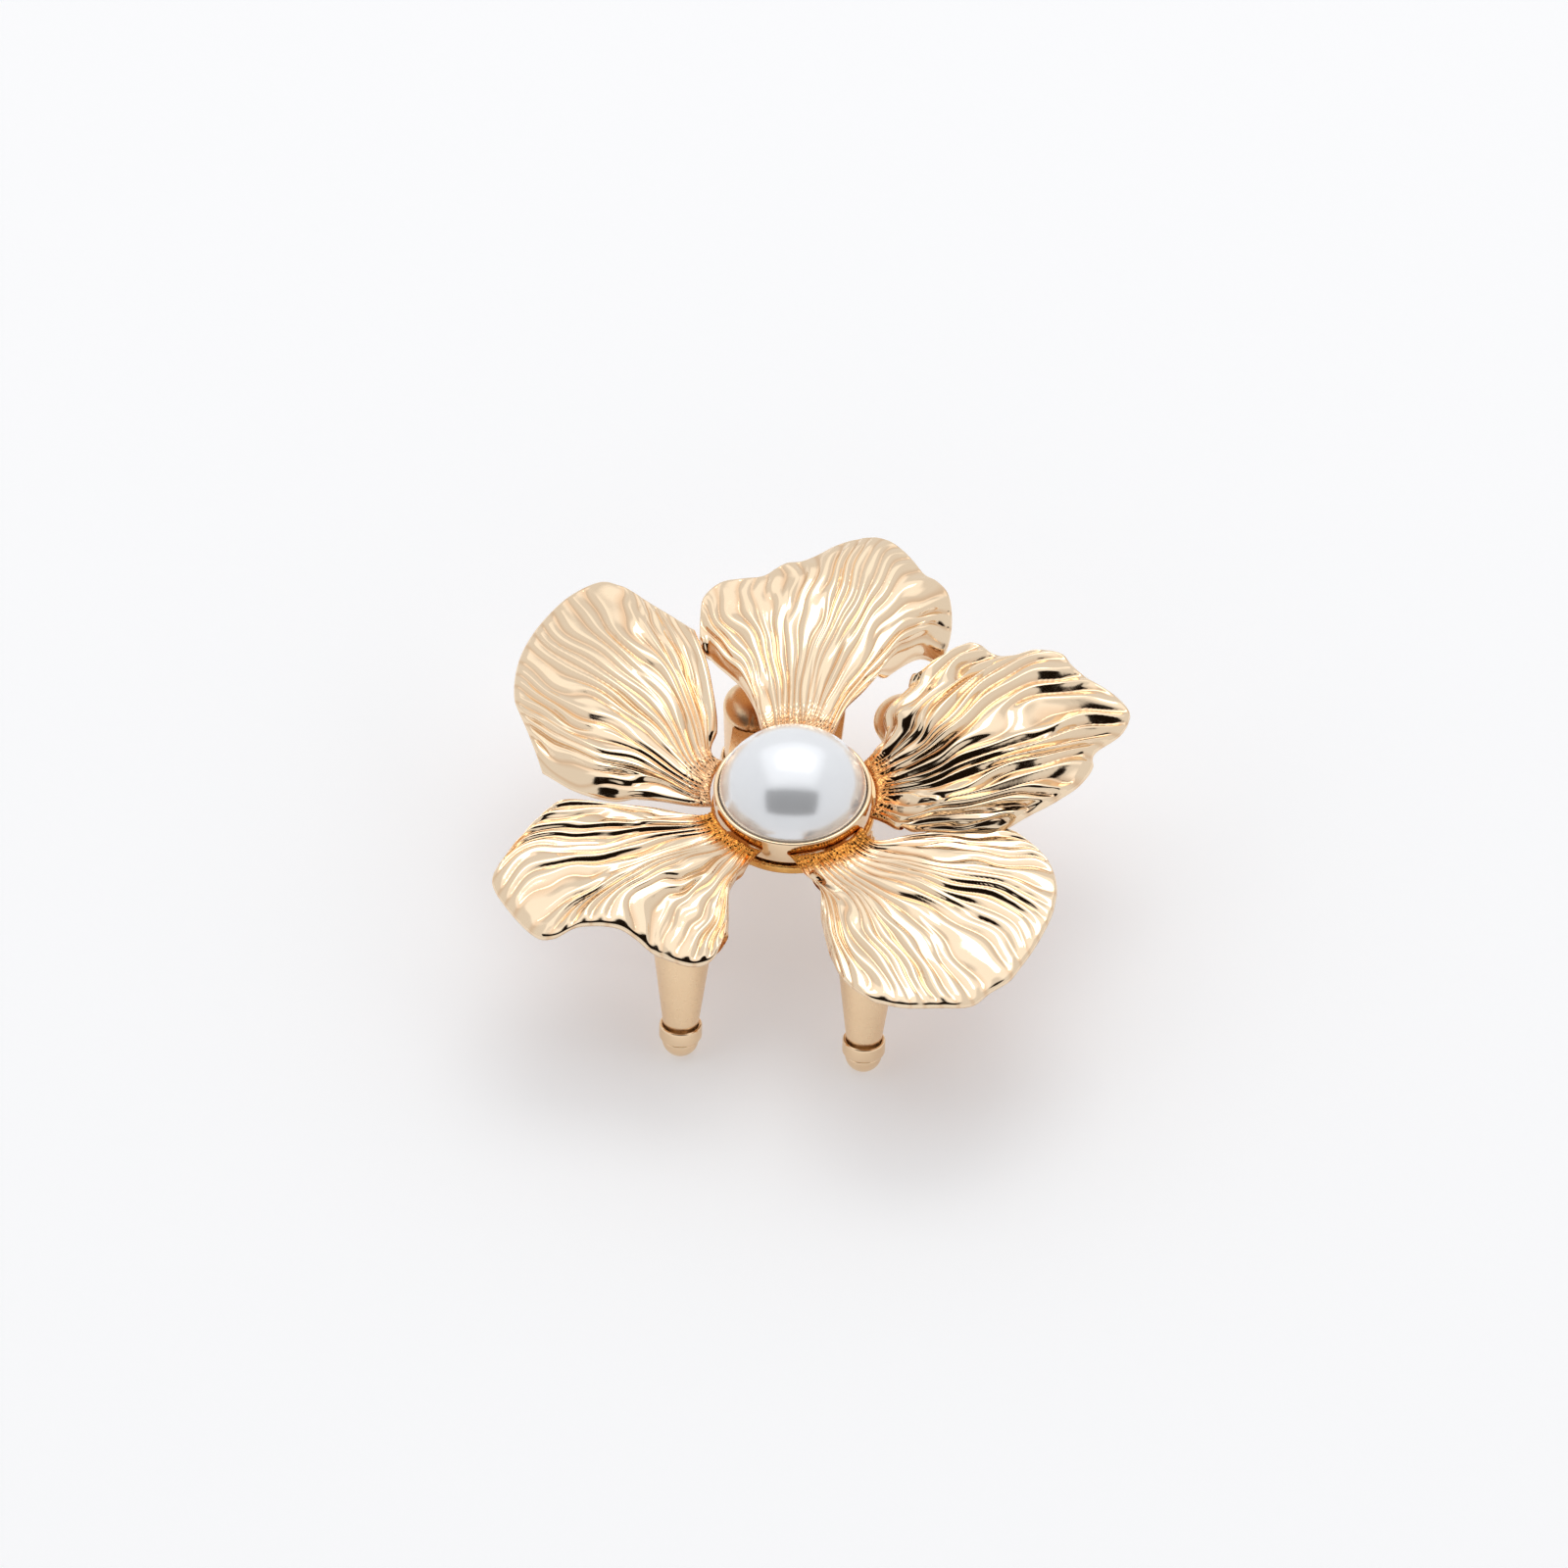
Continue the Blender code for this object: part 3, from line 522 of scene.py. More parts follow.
    def rolled(self, s: Grid, t: Grid) -> tuple[Grid, Grid]:
        """How many millimetres each point drops where a margin is rolled, and what is left of its ribs."""
        drop = np.zeros(np.broadcast_shapes(s.shape, t.shape))
        calm = np.ones_like(drop)
        for roll in self.rolls:
            inward, along = {"first": (t, s), "second": (1 - t, s), "free": (1 - s, t)}[roll.edge]
            share = np.clip(1 - inward / roll.reach, 0, 1)
            window = (smoothstep(roll.start, roll.start + 0.12, along)
                      * (1 - smoothstep(roll.end - 0.12, roll.end, along)))
            drop = drop + roll.drop * share**1.8 * window
            calm = calm * (1 - 0.75 * smoothstep(0, 0.6, share) * window)
        return drop, calm

    def build(self) -> bpy.types.Object:
        """Make the petal as a closed shell whose upper sheet carries the ribs and whose rim is rounded.

        Returns:
            The petal.
        """
        grid, s, t = self.sheet()
        width = np.linalg.norm(np.diff(grid, axis=1), axis=2).sum(axis=1)[:, None]
        length = np.linalg.norm(np.diff(grid, axis=0), axis=2).sum(axis=0)[None, :]
        ribs, ridges, groove = self.relief(s, t, width)
        drop, calm = self.rolled(s, t)
        ribs = ribs * calm
        grid[:, :, 2] += ridges - drop
        normal = np.cross(np.gradient(grid, axis=0), np.gradient(grid, axis=1))
        normal /= np.linalg.norm(normal, axis=2, keepdims=True)
        normal *= np.sign(normal[..., 2].mean())
        inward = np.minimum(np.minimum(t, 1 - t) * width, np.minimum(s, 1 - s) * length)
        half = self.thickness / 2
        share = np.clip(inward / half, 0, 1)
        round_over = np.sqrt(np.clip(1 - (1 - share) ** 2, 0, 1))
        rise = ribs * smoothstep(0, 1, inward / 0.8) + self.cast_grain(grid) * (1 - smoothstep(0.03, 0.16, s))
        middle = grid - normal * half
        top = middle + normal * (half * round_over + rise)[..., None]
        under = middle - normal * (half * round_over + 0.25 * rise)[..., None]
        rows, columns = self.rows, self.columns
        number = np.arange(rows * columns).reshape(rows, columns)
        lower = number.copy()
        inner = np.arange((rows - 2) * (columns - 2)).reshape(rows - 2, columns - 2)
        lower[1:-1, 1:-1] = rows * columns + inner
        points = np.vstack([top.reshape(-1, 3), under[1:-1, 1:-1].reshape(-1, 3)]) * MM + AXIS
        sheet = np.stack([number[:-1, :-1], number[:-1, 1:], number[1:, 1:], number[1:, :-1]], axis=-1)
        back = np.stack([lower[:-1, :-1], lower[1:, :-1], lower[1:, 1:], lower[:-1, 1:]], axis=-1)
        faces = np.vstack([sheet.reshape(-1, 4), back.reshape(-1, 4)])
        a, b, c = (points[sheet[rows // 2, columns // 2, k]] for k in range(3))
        if np.cross(b - a, c - b)[2] < 0:
            faces = faces[:, ::-1]
        hidden = (rows - 2) * (columns - 2)
        # The underside gets most of the painted groove shade, so that the light it bounces onto the floor is
        # warmer.
        depth = np.concatenate([groove.reshape(-1), np.full(hidden, 0.9)])
        # Painted bounce light: the petal turns a deeper orange in the throat round the cup.
        reach = grid[..., 0] ** 2 + grid[..., 1] ** 2
        painted_throat_bounce = self.throat * (1 - smoothstep(9.6, 11.6, np.sqrt(reach))) * np.ones_like(t)
        throat = np.concatenate([painted_throat_bounce.reshape(-1), np.zeros(hidden)])
        return mesh_piece(self.name + "_cast", points, faces, POLISHED_PETAL, FIXED, Slot.POLISHED,
                          (self.name,), {"groove": depth, "throat": throat})


PETALS = [
    Petal("petal_top", (119, 68),
          [(117, 10.2, 19.3), (116, 12.1, 19.9), (117, 15.0, 20.4), (119.5, 17.3, 20.6),
           (121.7, 19.7, 20.7),
           (122.3, 22.4, 20.8)],
          [(70, 10.2, 19.2), (70.2, 13.1, 19.6), (67.1, 16.4, 20.1), (65.1, 20.2, 20.3), (62.1, 23.8, 20.0),
           (57.8, 25.1, 19.0)],
          [(117.9, 26.4, 21.2), (115.4, 28.0, 21.3), (111.3, 29.1, 21.4), (107.0, 29.0, 21.6),
           (102.6, 29.2, 21.8),
           (98.1, 30.5, 21.9), (94.3, 31.0, 21.6), (91.0, 31.9, 21.8), (88.0, 33.2, 21.9),
           (84.9, 34.2, 21.8),
           (81.6, 34.9, 21.6), (78.3, 34.6, 21.6), (74.4, 33.4, 21.6), (70.7, 32.3, 21.3),
           (68.0, 32.2, 21.2),
           (65.0, 31.6, 20.8), (62.0, 29.8, 20.2), (59.4, 27.6, 19.4)],
          crown=0.8, seed=0.4, ribs=(16, 22), depth=0.34, bend=0.012,
          ridges=(Ridge(0.3, 0.07, -0.5), Ridge(0.62, 0.13, 0.7), Ridge(0.85, 0.07, -0.4, 0.3)),
          rolls=(Roll("first", 0.07, 1.2, 0.02, 0.95), Roll("second", 0.1, 2.0, 0.5, 1.3))),
    Petal("petal_upper_left", (197, 154),
          [(194, 10.2, 18.8), (189.5, 14.4, 19.0), (187.0, 19.1, 18.8), (182.5, 22.7, 18.4),
           (177.2, 26.2, 18.2)],
          [(152, 10.0, 19.3), (138.4, 12.2, 20.2), (129.3, 16.2, 21.3), (126.1, 19.5, 21.8),
           (124.7, 22.5, 21.9)],
          [(168.9, 28.7, 18.6), (161.3, 32.1, 19.2), (150.9, 34.8, 20.0), (141.4, 35.4, 20.6),
           (133.1, 34.7, 21.0),
           (130.3, 32.9, 21.2), (128.2, 30.1, 21.4), (126.0, 26.4, 21.7)],
          crown=1.4, seed=1.9, ribs=(15, 21), depth=0.46, bend=-0.03, lean=0.4, facet=0.7,
          ridges=(Ridge(0.2, 0.07, 0.5), Ridge(0.42, 0.08, -0.5), Ridge(0.72, 0.1, 0.6)),
          rolls=(Roll("first", 0.1, 0.8, 0.4, 1.3), Roll("second", 0.16, -0.9, 0.1, 1.2),
                 Roll("free", 0.05, 0.5, 0.0, 0.6))),
    Petal("petal_lower_left", (254, 202),
          [(251, 10.0, 18.6), (249.2, 12.0, 18.8), (250.2, 14.4, 18.9), (254.2, 17.2, 18.8),
           (256.8, 20.3, 18.6)],
          [(201, 10.0, 18.7), (192.7, 14.2, 18.8), (190.0, 18.6, 19.0), (188.4, 23.3, 19.2),
           (193.3, 25.8, 19.0)],
          [(256.1, 23.0, 18.0), (251.3, 24.5, 17.8), (243.7, 24.9, 18.2), (237.7, 25.0, 19.2),
           (232.5, 25.8, 19.8),
           (227.3, 28.2, 19.4), (225.4, 30.9, 18.4), (222.2, 32.2, 18.2), (213.8, 32.6, 18.4),
           (206.4, 32.6, 18.6),
           (201.5, 30.2, 18.8)],
          crown=1.2, seed=3.1, ribs=(14, 20), depth=0.46, bend=0.03, lean=0.4, facet=0.7, throat=1.0,
          ridges=(Ridge(0.25, 0.07, -0.6, 0.3), Ridge(0.5, 0.08, 0.6), Ridge(0.78, 0.07, -0.4)),
          rolls=(Roll("free", 0.06, 0.35, -0.2, 1.2),)),
    Petal("petal_lower_right", (-26, -88),
          [(-26, 10.0, 18.0), (-15.2, 13.0, 18.2), (-7.6, 17.2, 18.4), (-4.3, 21.0, 18.4),
           (-5.4, 23.3, 18.5)],
          [(-79, 10.0, 18.2), (-72.0, 12.8, 18.6), (-74.2, 16.3, 18.6), (-73.9, 21.4, 18.4)],
          [(-9.2, 25.8, 18.5), (-12.9, 27.7, 18.6), (-18.3, 29.4, 18.8), (-23.7, 30.5, 18.8),
           (-28.2, 31.1, 18.6),
           (-33.4, 31.8, 18.7), (-37.6, 32.2, 18.5), (-42.0, 32.8, 18.7), (-46.2, 32.6, 18.5),
           (-50.1, 32.9, 18.4),
           (-53.9, 32.4, 18.6), (-57.2, 31.5, 18.5), (-62.7, 30.7, 18.8), (-66.2, 29.5, 18.7),
           (-69.1, 28.2, 18.8),
           (-72.5, 25.3, 18.6)],
          crown=1.2, seed=4.6, ribs=(16, 23), depth=0.34, bend=-0.02, throat=1.0,
          ridges=(Ridge(0.3, 0.1, 0.35), Ridge(0.55, 0.1, -0.35), Ridge(0.8, 0.1, 0.3)),
          rolls=(Roll("second", 0.1, 0.6, 0.5, 1.3), Roll("free", 0.05, 0.35, 0.3, 1.2))),
    Petal("petal_upper_right", (38, -14),
          [(42, 10.2, 19.3), (47.7, 12.4, 20.3), (53.7, 13.5, 21.2), (54.8, 16.3, 21.6), (54.3, 20.6, 21.9),
           (52.9, 24.5, 21.8)],
          [(-15, 10.0, 18.9), (-17.8, 11.6, 19.2), (-14.3, 14.2, 19.8), (-10.7, 18.2, 20.0),
           (-6.7, 21.6, 19.8)],
          [(51.9, 26.3, 21.8), (49.6, 26.9, 21.7), (46.0, 27.1, 21.3), (43.1, 28.4, 21.3),
           (41.5, 31.2, 21.6),
           (38.5, 33.0, 21.6), (35.6, 33.2, 21.4), (32.3, 33.7, 21.3), (29.1, 34.8, 21.2),
           (26.6, 35.7, 21.0),
           (23.7, 36.3, 20.9), (21.4, 36.1, 20.8), (18.4, 34.7, 20.6), (15.1, 31.6, 20.4),
           (12.2, 31.2, 20.2),
           (9.6, 30.4, 20.0), (5.9, 28.9, 19.9), (2.2, 26.9, 19.7), (-1.0, 24.9, 19.6)],
          crown=1.2, seed=5.5, ribs=(13, 17), depth=0.6, bend=-0.05, deepest=1.0, lean=0.52, facet=1.0,
          throat=0.8,
          ridges=(Ridge(0.15, 0.07, 0.5), Ridge(0.5, 0.12, -0.5), Ridge(0.85, 0.07, 0.5)),
          rolls=(Roll("first", 0.12, 1.4, 0.1, 0.7), Roll("second", 0.1, 1.4, 0.25, 1.3),
                 Roll("free", 0.06, 0.8, 0.5, 1.2))),
]


@dataclass
class PearlSetting:
    """The half pearl in its cup, on the hub that the petals are brazed to."""

    rim_height: float = 20.0
    cup_radius: float = 8.1
    cup_wall: float = 0.45
    cup_floor: float = 0.6
    cup_height: float = 2.8
    hub_radius: float = 8.4
    hub_top: float = 16.9
    hub_bottom: float = 15.9
    bore: float = 1.3
    pearl_radius: float = 7.6
    pearl_rise: float = 6.0
    pearl_base: float = 18.9
    skirt: float = 0.4
    steps: int = 220

    def build(self) -> None:
        """Make the pearl, the cup and the hub."""
        up = np.array([0.0, 0.0, 1.0])
        angles = np.linspace(math.pi / 2, 0, 90)
        widest = self.pearl_base + self.skirt
        dome = [(self.pearl_radius * math.cos(a), widest + self.pearl_rise * math.sin(a)) for a in angles]
        dome[0] = (0.0, dome[0][1])
        profile = dome + [(self.pearl_radius, self.pearl_base + 0.1),
                          (self.pearl_radius - 0.15, self.pearl_base), (0.0, self.pearl_base)]
        mesh_piece("half_pearl", *turned(profile, self.steps, AXIS, up), PEARL_FINISH, FIXED, Slot.PEARL,
                   ("pearl",))
        outer, inner = self.cup_radius, self.cup_radius - self.cup_wall
        low, high = self.rim_height - self.cup_height, self.rim_height
        floor = low + self.cup_floor
        cup = rounded([(inner, floor), (inner, high), (outer, high), (outer, low), (self.bore, low),
                       (self.bore, floor), (inner, floor)], 0.2)
        mesh_piece("bezel_cup", *turned(cup, self.steps, AXIS, up), POLISHED_TURNED, FIXED, Slot.POLISHED,
                   ("pearl_cup",))
        hub = rounded([(self.bore, self.hub_top), (self.hub_radius, self.hub_top),
                       (self.hub_radius, self.hub_bottom), (self.bore, self.hub_bottom)], 0.25)
        mesh_piece("cast_hub", *turned(hub, self.steps, AXIS, up), CAST_THROAT, FIXED, Slot.POLISHED,
                   ("hub_plate",))


# The claw


@dataclass
class Prong:
    """A tapered rolled tube with a seam, its ferrule ring and the bead pegged into its end."""

    name: str
    body: str
    tip: tuple[float, float]
    slope: tuple[float, float]
    bead_radius: float = 1.9
    flat_depth: float = 0.12
    length: float = 13.9
    tip_radius: float = 1.84
    taper: float = 0.11
    neck_radius: float = 1.45
    ring_radius: float = 2.2
    ring_wall: float = 0.4
    ring_low: float = 0.3
    ring_high: float = 1.9
    ring_lip: float = 0.35
    fit: float = 0.15
    stem_radius: float = 0.9
    stem_height: float = 3.4
    seam_width: float = 0.14
    seam_depth: float = 0.16
    dome: float = 1.3
    steps: int = 128

    def frame(self) -> tuple[np.ndarray, np.ndarray]:
        """The bead's centre in metres and the prong's upward direction."""
        centre = AXIS + np.array([self.tip[0], self.tip[1], self.bead_radius - self.flat_depth]) * MM
        return centre, np.array([self.slope[0], self.slope[1], 1.0])

    def tube(self) -> tuple[Grid, Grid]:
        """The tube, with its radius pulled in by a narrow bell curve along the seam that faces inwards."""
        origin, up = self.frame()
        shoulder = self.ring_high + 0.25
        top = self.tip_radius + self.taper * (self.length - shoulder)
        neck_low = self.ring_low + self.ring_lip + self.fit
        bore = self.stem_radius + self.fit
        side = [(self.tip_radius + (top - self.tip_radius) * k,
                 shoulder + (self.length - self.dome - shoulder) * k) for k in np.linspace(1, 0, 24)]
        profile = [(top * math.sin(a), self.length - self.dome + self.dome * math.cos(a))
                   for a in np.linspace(0, math.pi / 2, 14)[:-1]] + side
        profile += [(self.tip_radius - 0.06, shoulder - 0.06), (self.neck_radius, shoulder - 0.1),
                    (self.neck_radius, neck_low), (bore, neck_low), (bore, self.stem_height + 0.3),
                    (0.0, self.stem_height + 0.3)]
        points, faces = turned(profile, self.steps, origin, up)
        axis = up / np.linalg.norm(up)
        rel = points - origin
        out = rel - (rel @ axis)[:, None] * axis
        radius = np.linalg.norm(out, axis=1)
        towards = np.array([0.0, -math.copysign(1.0, self.tip[1]), 0.0])
        towards -= towards @ axis * axis
        towards /= np.linalg.norm(towards)
        unit = out / np.maximum(radius, 1e-9)[:, None]
        away = np.arccos(np.clip(unit @ towards, -1, 1)) * radius
        dip = self.seam_depth * MM * np.exp(-(away / (self.seam_width * MM)) ** 2)
        skin = radius > (self.tip_radius - 0.1) * MM
        return points - unit * (dip * skin)[:, None], faces

    def build(self) -> None:
        """Make the tube, the ring and the bead."""
        origin, up = self.frame()
        mesh_piece(f"rolled_tube_{self.name}", *self.tube(), SATIN_TUBE, self.body, Slot.SATIN,
                   (f"prong_{self.name}",))
        hole, inner = self.stem_radius + self.fit, self.ring_radius - self.ring_wall
        ring = rounded([(inner, self.ring_low + self.ring_lip), (inner, self.ring_high),
                        (self.ring_radius, self.ring_high), (self.ring_radius + 0.02, self.ring_low),
                        (hole, self.ring_low), (hole, self.ring_low + self.ring_lip),
                        (inner, self.ring_low + self.ring_lip)], 0.28, 6)
        mesh_piece(f"ferrule_ring_{self.name}", *turned(ring, self.steps, origin, up), POLISHED_TURNED,
                   self.body, Slot.POLISHED, (f"ferrule_{self.name}",))
        collar = self.ring_low - self.fit
        low = math.asin(collar / self.bead_radius)
        ball = [(self.bead_radius * math.cos(a), self.bead_radius * math.sin(a))
                for a in np.linspace(low, -math.pi / 2, 24)]
        ball[-1] = (0.0, -self.bead_radius)
        profile = [(0.0, self.stem_height), (self.stem_radius, self.stem_height),
                   (self.stem_radius, collar)] + ball
        points, faces = turned(profile, self.steps, origin, up)
        points[:, 2] = np.maximum(points[:, 2], 0.0)
        mesh_piece(f"tip_dome_{self.name}", points, faces, POLISHED_TURNED, self.body, Slot.POLISHED,
                   (f"tip_bead_{self.name}",))


@dataclass
class Hinge:
    """The pin, its cap, the rivets and the torsion spring."""

    centre: tuple[float, float] = (1.0, 11.0)
    pin_radius: float = 0.9
    head_radius: float = 1.5
    outer: float = 7.5
    head: float = 0.6
    wire: float = 0.35
    coil_radius: float = 1.6
    turns: int = 6
    half_length: float = 3.3
    plate_top: float = 13.6
    saddle_bottom: float = 14.4
    saddle_top: float = 15.6
    rivet_radius: float = 1.0
    lever_head_radius: float = 1.6
    lever_head_height: float = 0.4

    def spring(self) -> tuple[Grid, Grid]:
        """The wire: a helix about the pin, hooked at one end and laid on the sprung plate at the other.

        Each ring of the tube is a circle across the route, laid out from the direction that is square to both
        the route and the pin.

        Returns:
            Points and faces.
        """
        y, z = self.centre
        turn = np.linspace(0, 1, self.turns * 48 + 1)
        angle = math.pi / 2 - 2 * math.pi * self.turns * turn
        coil = np.stack([self.half_length * (2 * turn - 1), y + self.coil_radius * np.cos(angle),
                         z + self.coil_radius * np.sin(angle)], axis=1)
        top, hook = z + self.coil_radius, y - 5.2
        under, over = self.saddle_bottom - 0.3 - self.wire, self.plate_top + 0.3 + self.wire
        first = through([(-self.half_length, hook, self.saddle_top - 0.2), (-self.half_length, hook, under),
                         (-self.half_length, hook + 0.9, under - 0.4),
                         (-self.half_length, y - 1.2, top + 0.1),
                         tuple(coil[0])], np.linspace(0, 1, 40))[:-1]
        last = through([tuple(coil[-1]), (self.half_length, y + 1.2, top + 0.2),
                        (self.half_length, y + 3.2, over), (self.half_length, y + 7.0, over)],
                       np.linspace(0, 1, 30))[1:]
        route = np.vstack([first, coil, last])
        along = np.gradient(route, axis=0)
        along /= np.linalg.norm(along, axis=1, keepdims=True)
        side = np.cross(along, np.array([1.0, 0.0, 0.0]))
        side /= np.linalg.norm(side, axis=1, keepdims=True)
        other = np.cross(along, side)
        round_ = np.linspace(0, 2 * math.pi, 16, endpoint=False)
        ring = np.cos(round_)[None, :, None] * side[:, None] + np.sin(round_)[None, :, None] * other[:, None]
        tube = (route[:, None] + self.wire * ring).reshape(-1, 3)
        caps = len(tube) + np.array([0, 1])
        faces = quads(len(route), 16, wrap=True)[:, ::-1]
        first_ring, last_ring = np.arange(16), len(tube) - 16 + np.arange(16)
        after_first = np.roll(first_ring, -1)
        lids = [np.stack([np.full(16, caps[0]), first_ring, after_first, after_first], axis=1),
                np.stack([np.full(16, caps[1]), np.roll(last_ring, -1), last_ring, last_ring], axis=1)]
        points = np.vstack([tube, route[:1], route[-1:]])
        return points * MM + AXIS, np.vstack([faces] + lids)

    def build(self) -> None:
        """Make the pin, the cap, the rivets and the spring."""
        y, z = self.centre
        seat, along = AXIS + np.array([0.0, y, z]) * MM, np.array([1.0, 0.0, 0.0])
        end = self.outer + self.head
        pin = rounded([(0.0, end + 0.3), (self.pin_radius, end + 0.3), (self.pin_radius, -self.outer),
                       (self.head_radius, -self.outer), (self.head_radius, -end), (0.0, -end)], 0.22)
        mesh_piece("peened_pin", *turned(pin, 64, seat, along), SATIN_TUBE, FIXED, Slot.SATIN, ("hinge_pin",))
        bore = self.pin_radius + 0.15
        cap = rounded([(bore, end), (self.head_radius, end), (self.head_radius, self.outer),
                       (bore, self.outer)], 0.15)
        mesh_piece("pressed_cap", *turned(cap, 64, seat, along), SATIN_TUBE, FIXED, Slot.SATIN, ("pin_cap",))
        mesh_piece("wound_spring", *self.spring(), DRAWN_WIRE, FIXED, Slot.SPRING, ("torsion_spring",))
        up = np.array([0.0, 0.0, 1.0])
        shank = self.rivet_radius
        centre_rivet = rounded([(0.0, 18.6), (2.0, 18.6), (2.0, 18.1), (shank, 18.1), (shank, 14.1),
                                (1.9, 14.1), (1.9, 13.4), (0.0, 13.4)], 0.3)
        mesh_piece("flower_rivet", *turned(centre_rivet, 64, AXIS, up), SATIN_TUBE, FIXED, Slot.SATIN,
                   ("centre_rivet",))
        low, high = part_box("lever_rivet")
        spot = np.array([(low[0] + high[0]) / 2, (low[1] + high[1]) / 2, 0.0])
        base, top = low[2] / MM, high[2] / MM
        head, thick = self.lever_head_radius, self.lever_head_height
        rivet = rounded([(0.0, top), (head, top), (head, top - thick), (shank, top - thick),
                         (shank, base + thick), (head, base + thick), (head, base), (0.0, base)], 0.3)
        mesh_piece("lever_rivet_domed", *turned(rivet, 64, spot, up), SATIN_TUBE, SPRUNG, Slot.SATIN,
                   ("lever_rivet",))


@dataclass
class JawPlates:
    """The blanked plates of both jaws, which keep their CAD shape."""

    nodes: tuple[str, ...] = ("front_saddle", "back_yoke", "thumb_lever")

    def dress(self) -> None:
        """Give each plate its satin plating."""
        for name in self.nodes:
            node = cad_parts[name]
            node.data.materials.clear()
            node.data.materials.append(SATIN_PLATE.material())
            log.info("%s: plated", name)


@dataclass
class Studio:
    """A pale floor, a bright tent with one dark opening at the front, and the camera."""

    azimuth: float = 6.4
    elevation: float = 47.3
    lens: float = 150.0
    field_mm: float = 160.0
    aim: tuple[float, float, float] = (0.0, 0.0, 20.0)
    offset_mm: tuple[float, float] = (-0.9, 0.25)
    floor_colour: str = "#E3E3E2"
    floor_glow_colour: str = "#FBFBFF"
    floor_glow: float = 0.3
    tent_colour: str = "#F6F7F9"
    world_light: float = 0.9
    shoulder: float = 0.35
    overhead_power: float = 0.8

    def towards_camera(self) -> Vector:
        """The direction from the object to the camera."""
        a, e = math.radians(self.azimuth), math.radians(self.elevation)
        return Vector((math.sin(a) * math.cos(e), -math.cos(a) * math.cos(e), math.sin(e)))

    def camera(self) -> None:
        """Place the camera."""
        data = bpy.data.cameras.new("camera")
        data.lens = self.lens
        data.sensor_width = 36.0
        data.clip_start, data.clip_end = 0.01, 20.0
        cam = bpy.data.objects.new("camera", data)
        bpy.context.scene.collection.objects.link(cam)
        back = self.towards_camera()
        right = Vector((math.cos(math.radians(self.azimuth)), math.sin(math.radians(self.azimuth)), 0))
        upward = back.cross(right)
        shift = (right * self.offset_mm[0] + upward * self.offset_mm[1]) * MM
        target = Vector(AXIS) + Vector(self.aim) * MM + shift
        distance = self.field_mm * MM * self.lens / data.sensor_width
        cam.location = target + back * distance
        cam.rotation_euler = back.to_track_quat("Z", "Y").to_euler()
        bpy.context.scene.camera = cam

    def floor(self) -> None:
        """Lay the pale floor just under the tips."""
        size, low = 3.0, CAD_BOX[0][2] - 0.00002
        mesh = bpy.data.meshes.new("floor")
        corners = [(-size, -size, low), (size, -size, low), (size, size, low), (-size, size, low)]
        mesh.from_pydata(corners, [], [(0, 1, 2, 3)])
        sheet = bpy.data.materials.new("matt_card")
        sheet.use_nodes = True
        shader = sheet.node_tree.nodes["Principled BSDF"]
        shader.inputs["Base Color"].default_value = linear(self.floor_colour)
        shader.inputs["Emission Color"].default_value = linear(self.floor_glow_colour)
        shader.inputs["Emission Strength"].default_value = self.floor_glow
        shader.inputs["Roughness"].default_value = 0.75
        shader.inputs["Specular IOR Level"].default_value = 0.2
        mesh.materials.append(sheet)
        floor = bpy.data.objects.new("floor", mesh)
        bpy.context.scene.collection.objects.link(floor)

    def lights(self) -> None:
        """Hang one wide soft light behind and above; the tent round it is lit by the world."""
        data = bpy.data.lights.new("overhead", "AREA")
        data.shape = "RECTANGLE"
        data.size, data.size_y = 0.46, 0.3
        data.energy = self.overhead_power
        lamp = bpy.data.objects.new("overhead", data)
        bpy.context.scene.collection.objects.link(lamp)
        out = Vector((0.0, math.cos(math.radians(62)), math.sin(math.radians(62))))
        lamp.location = Vector(AXIS) + out * 0.8
        lamp.rotation_euler = out.to_track_quat("Z", "Y").to_euler()

    def world(self) -> None:
        """A pale tent whose front opening, round the camera, is dark."""
        world = bpy.data.worlds.new("tent")
        bpy.context.scene.world = world
        world.use_nodes = True
        tree = world.node_tree
        direction = add(tree, "ShaderNodeTexCoord").outputs["Generated"]
        opening = self.panel(tree, direction, self.azimuth - 3, 53.5, 0.74, 0.41, 0.06)
        tone = add(tree, "ShaderNodeMix", {"Factor": opening, 6: linear(self.tent_colour),
                                           7: linear("#1A130D")}, data_type="RGBA")
        background = tree.nodes["Background"]
        tree.links.new(tone.outputs[2], background.inputs["Color"])
        glow = self.panel(tree, direction, self.azimuth + 180, 64.0, 0.6, 0.62, 0.12)
        strength = add(tree, "ShaderNodeMath", {0: glow, 1: self.shoulder, 2: self.world_light},
                       operation="MULTIPLY_ADD")
        tree.links.new(strength.outputs[0], background.inputs["Strength"])

    @staticmethod
    def band(tree: bpy.types.NodeTree, value: bpy.types.NodeSocket, reach: float,
             soft: float) -> bpy.types.NodeSocket:
        """One while a value is nearer to zero than the reach and zero beyond it, with a soft edge."""
        size = add(tree, "ShaderNodeMath", {0: value}, operation="ABSOLUTE")
        fall = add(tree, "ShaderNodeMapRange", {"Value": size.outputs[0], "From Min": reach - soft,
                                                "From Max": reach + soft, "To Min": 1.0, "To Max": 0.0},
                   interpolation_type="SMOOTHSTEP")
        return fall.outputs[0]

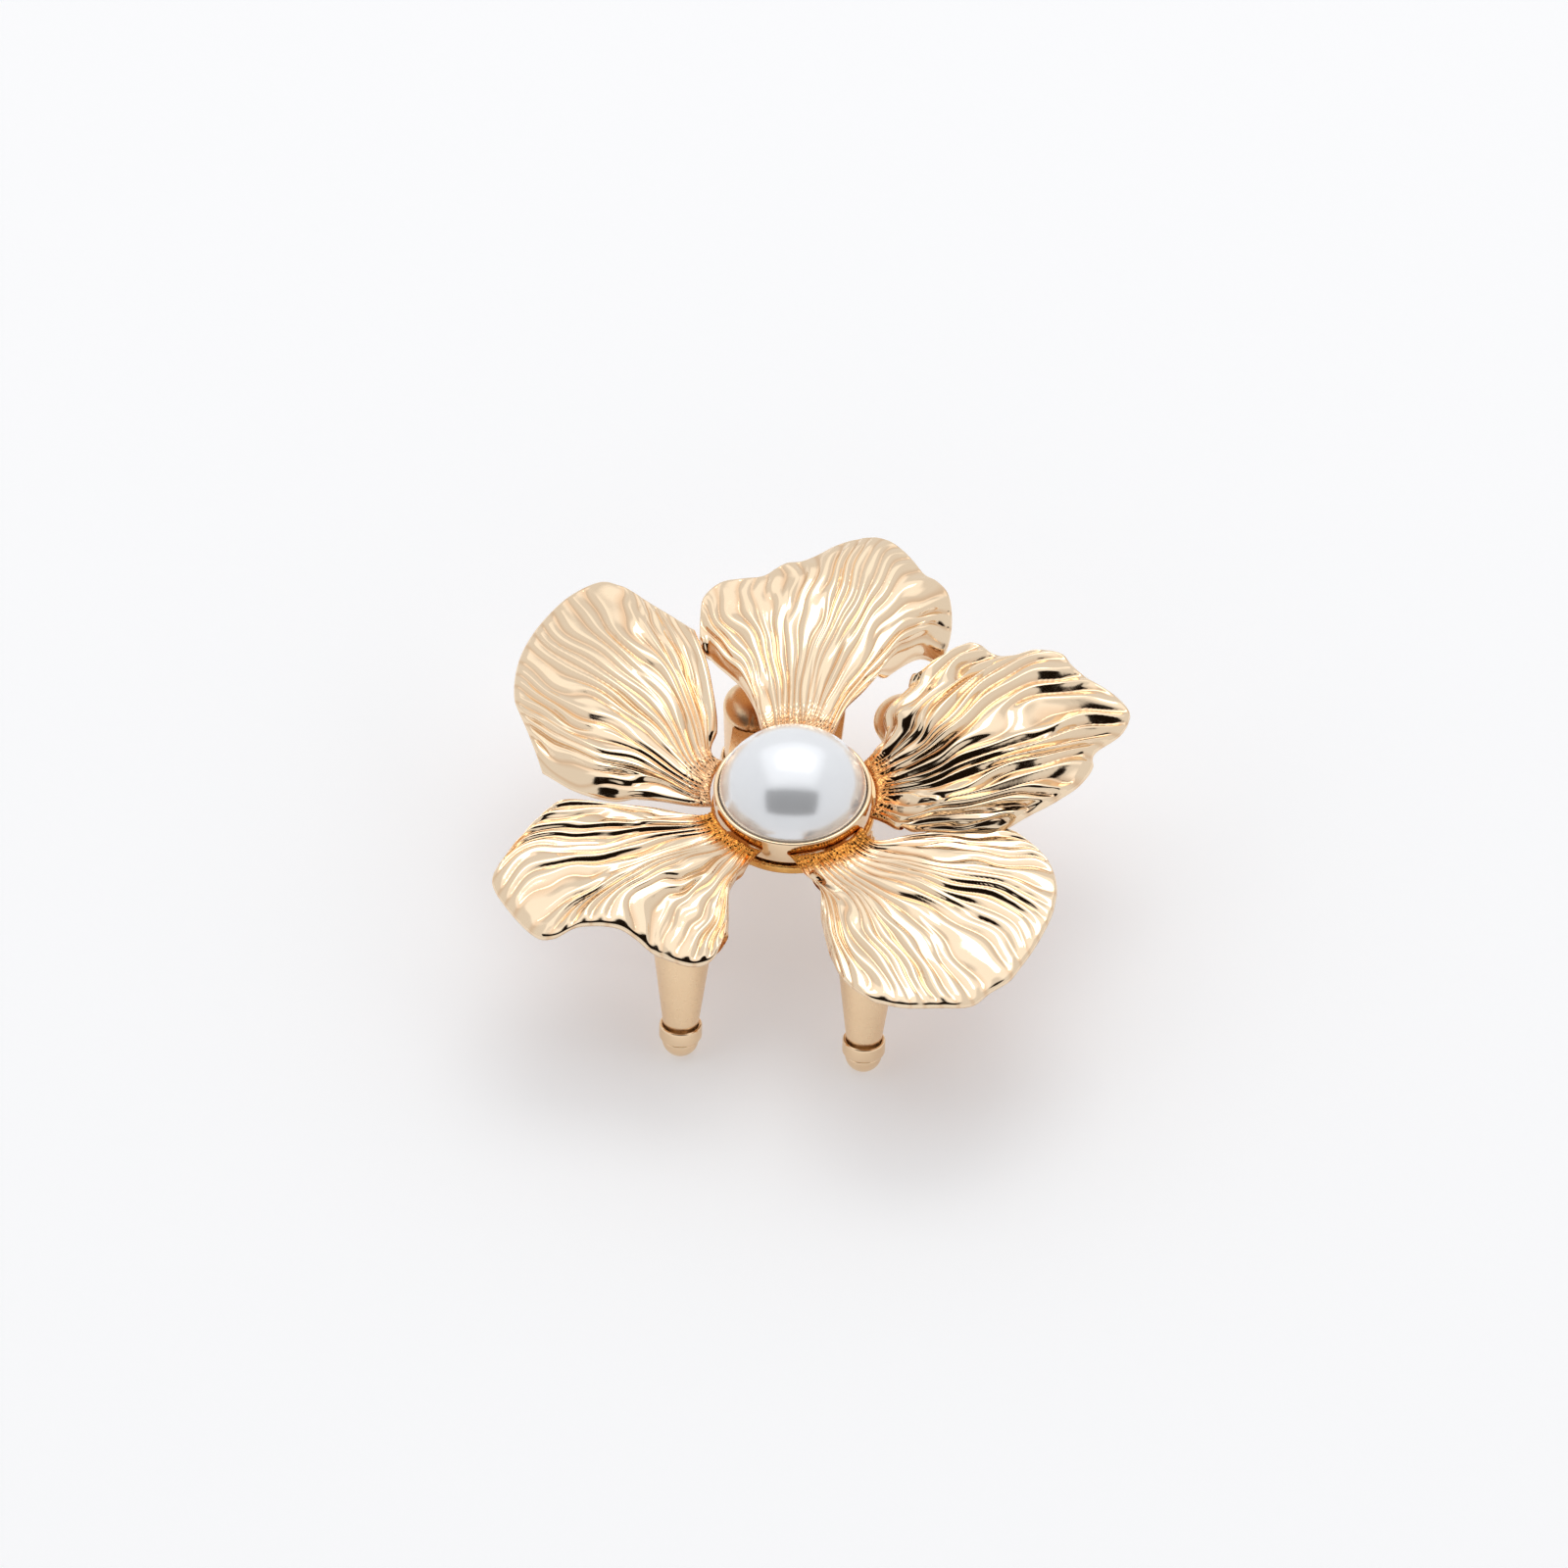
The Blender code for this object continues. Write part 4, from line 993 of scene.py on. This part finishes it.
    def panel(self, tree: bpy.types.NodeTree, direction: bpy.types.NodeSocket, azimuth: float,
              elevation: float, half_width: float, half_height: float, soft: float) -> bpy.types.NodeSocket:
        """Where a flat rectangle, square to its own direction and one unit away, covers the tent.

        Args:
            tree: The world's node tree.
            direction: The direction looked in.
            azimuth: The rectangle's azimuth in degrees, from -Y.
            elevation: Its elevation in degrees.
            half_width: Half its width, for a distance of one.
            half_height: Half its height, for a distance of one.
            soft: Half the width of its soft edge.

        Returns:
            One on the rectangle, zero off it.
        """
        a, e = math.radians(azimuth), math.radians(elevation)
        axes = ((math.sin(a) * math.cos(e), -math.cos(a) * math.cos(e), math.sin(e)),
                (math.cos(a), math.sin(a), 0.0),
                (-math.sin(a) * math.sin(e), math.cos(a) * math.sin(e), math.cos(e)))
        ahead, across, along = (add(tree, "ShaderNodeVectorMath", {0: direction, 1: axis},
                                    operation="DOT_PRODUCT").outputs["Value"] for axis in axes)
        facing = add(tree, "ShaderNodeMath", {0: ahead, 1: 0.05}, operation="GREATER_THAN").outputs[0]
        for value, reach in ((across, half_width), (along, half_height)):
            place = add(tree, "ShaderNodeMath", {0: value, 1: ahead}, operation="DIVIDE").outputs[0]
            facing = add(tree, "ShaderNodeMath", {0: facing, 1: self.band(tree, place, reach, soft)},
                         operation="MULTIPLY").outputs[0]
        return facing

    def build(self) -> None:
        """Set up the whole studio."""
        scene = bpy.context.scene
        scene.view_settings.view_transform = "Standard"
        self.camera()
        self.floor()
        self.lights()
        self.world()


def prongs() -> list[Prong]:
    """The four prongs, two on each jaw."""
    made = []
    for side, sign in (("left", -1), ("right", 1)):
        made.append(Prong(f"front_{side}", FIXED, (sign * 9.4, -19.3), (0.0, 0.25)))
        made.append(Prong(f"back_{side}", SPRUNG, (1.9 + sign * 9.7, 19.3), (-sign * 0.15, -0.25)))
    return made


def main() -> None:
    """Build the flower, the claw and the studio."""
    logging.basicConfig(level=logging.INFO, format="%(name)s %(message)s")
    Studio().build()
    for petal in PETALS:
        petal.build()
    PearlSetting().build()
    for prong in prongs():
        prong.build()
    Hinge().build()
    JawPlates().dress()


if __name__ == "__main__":
    main()
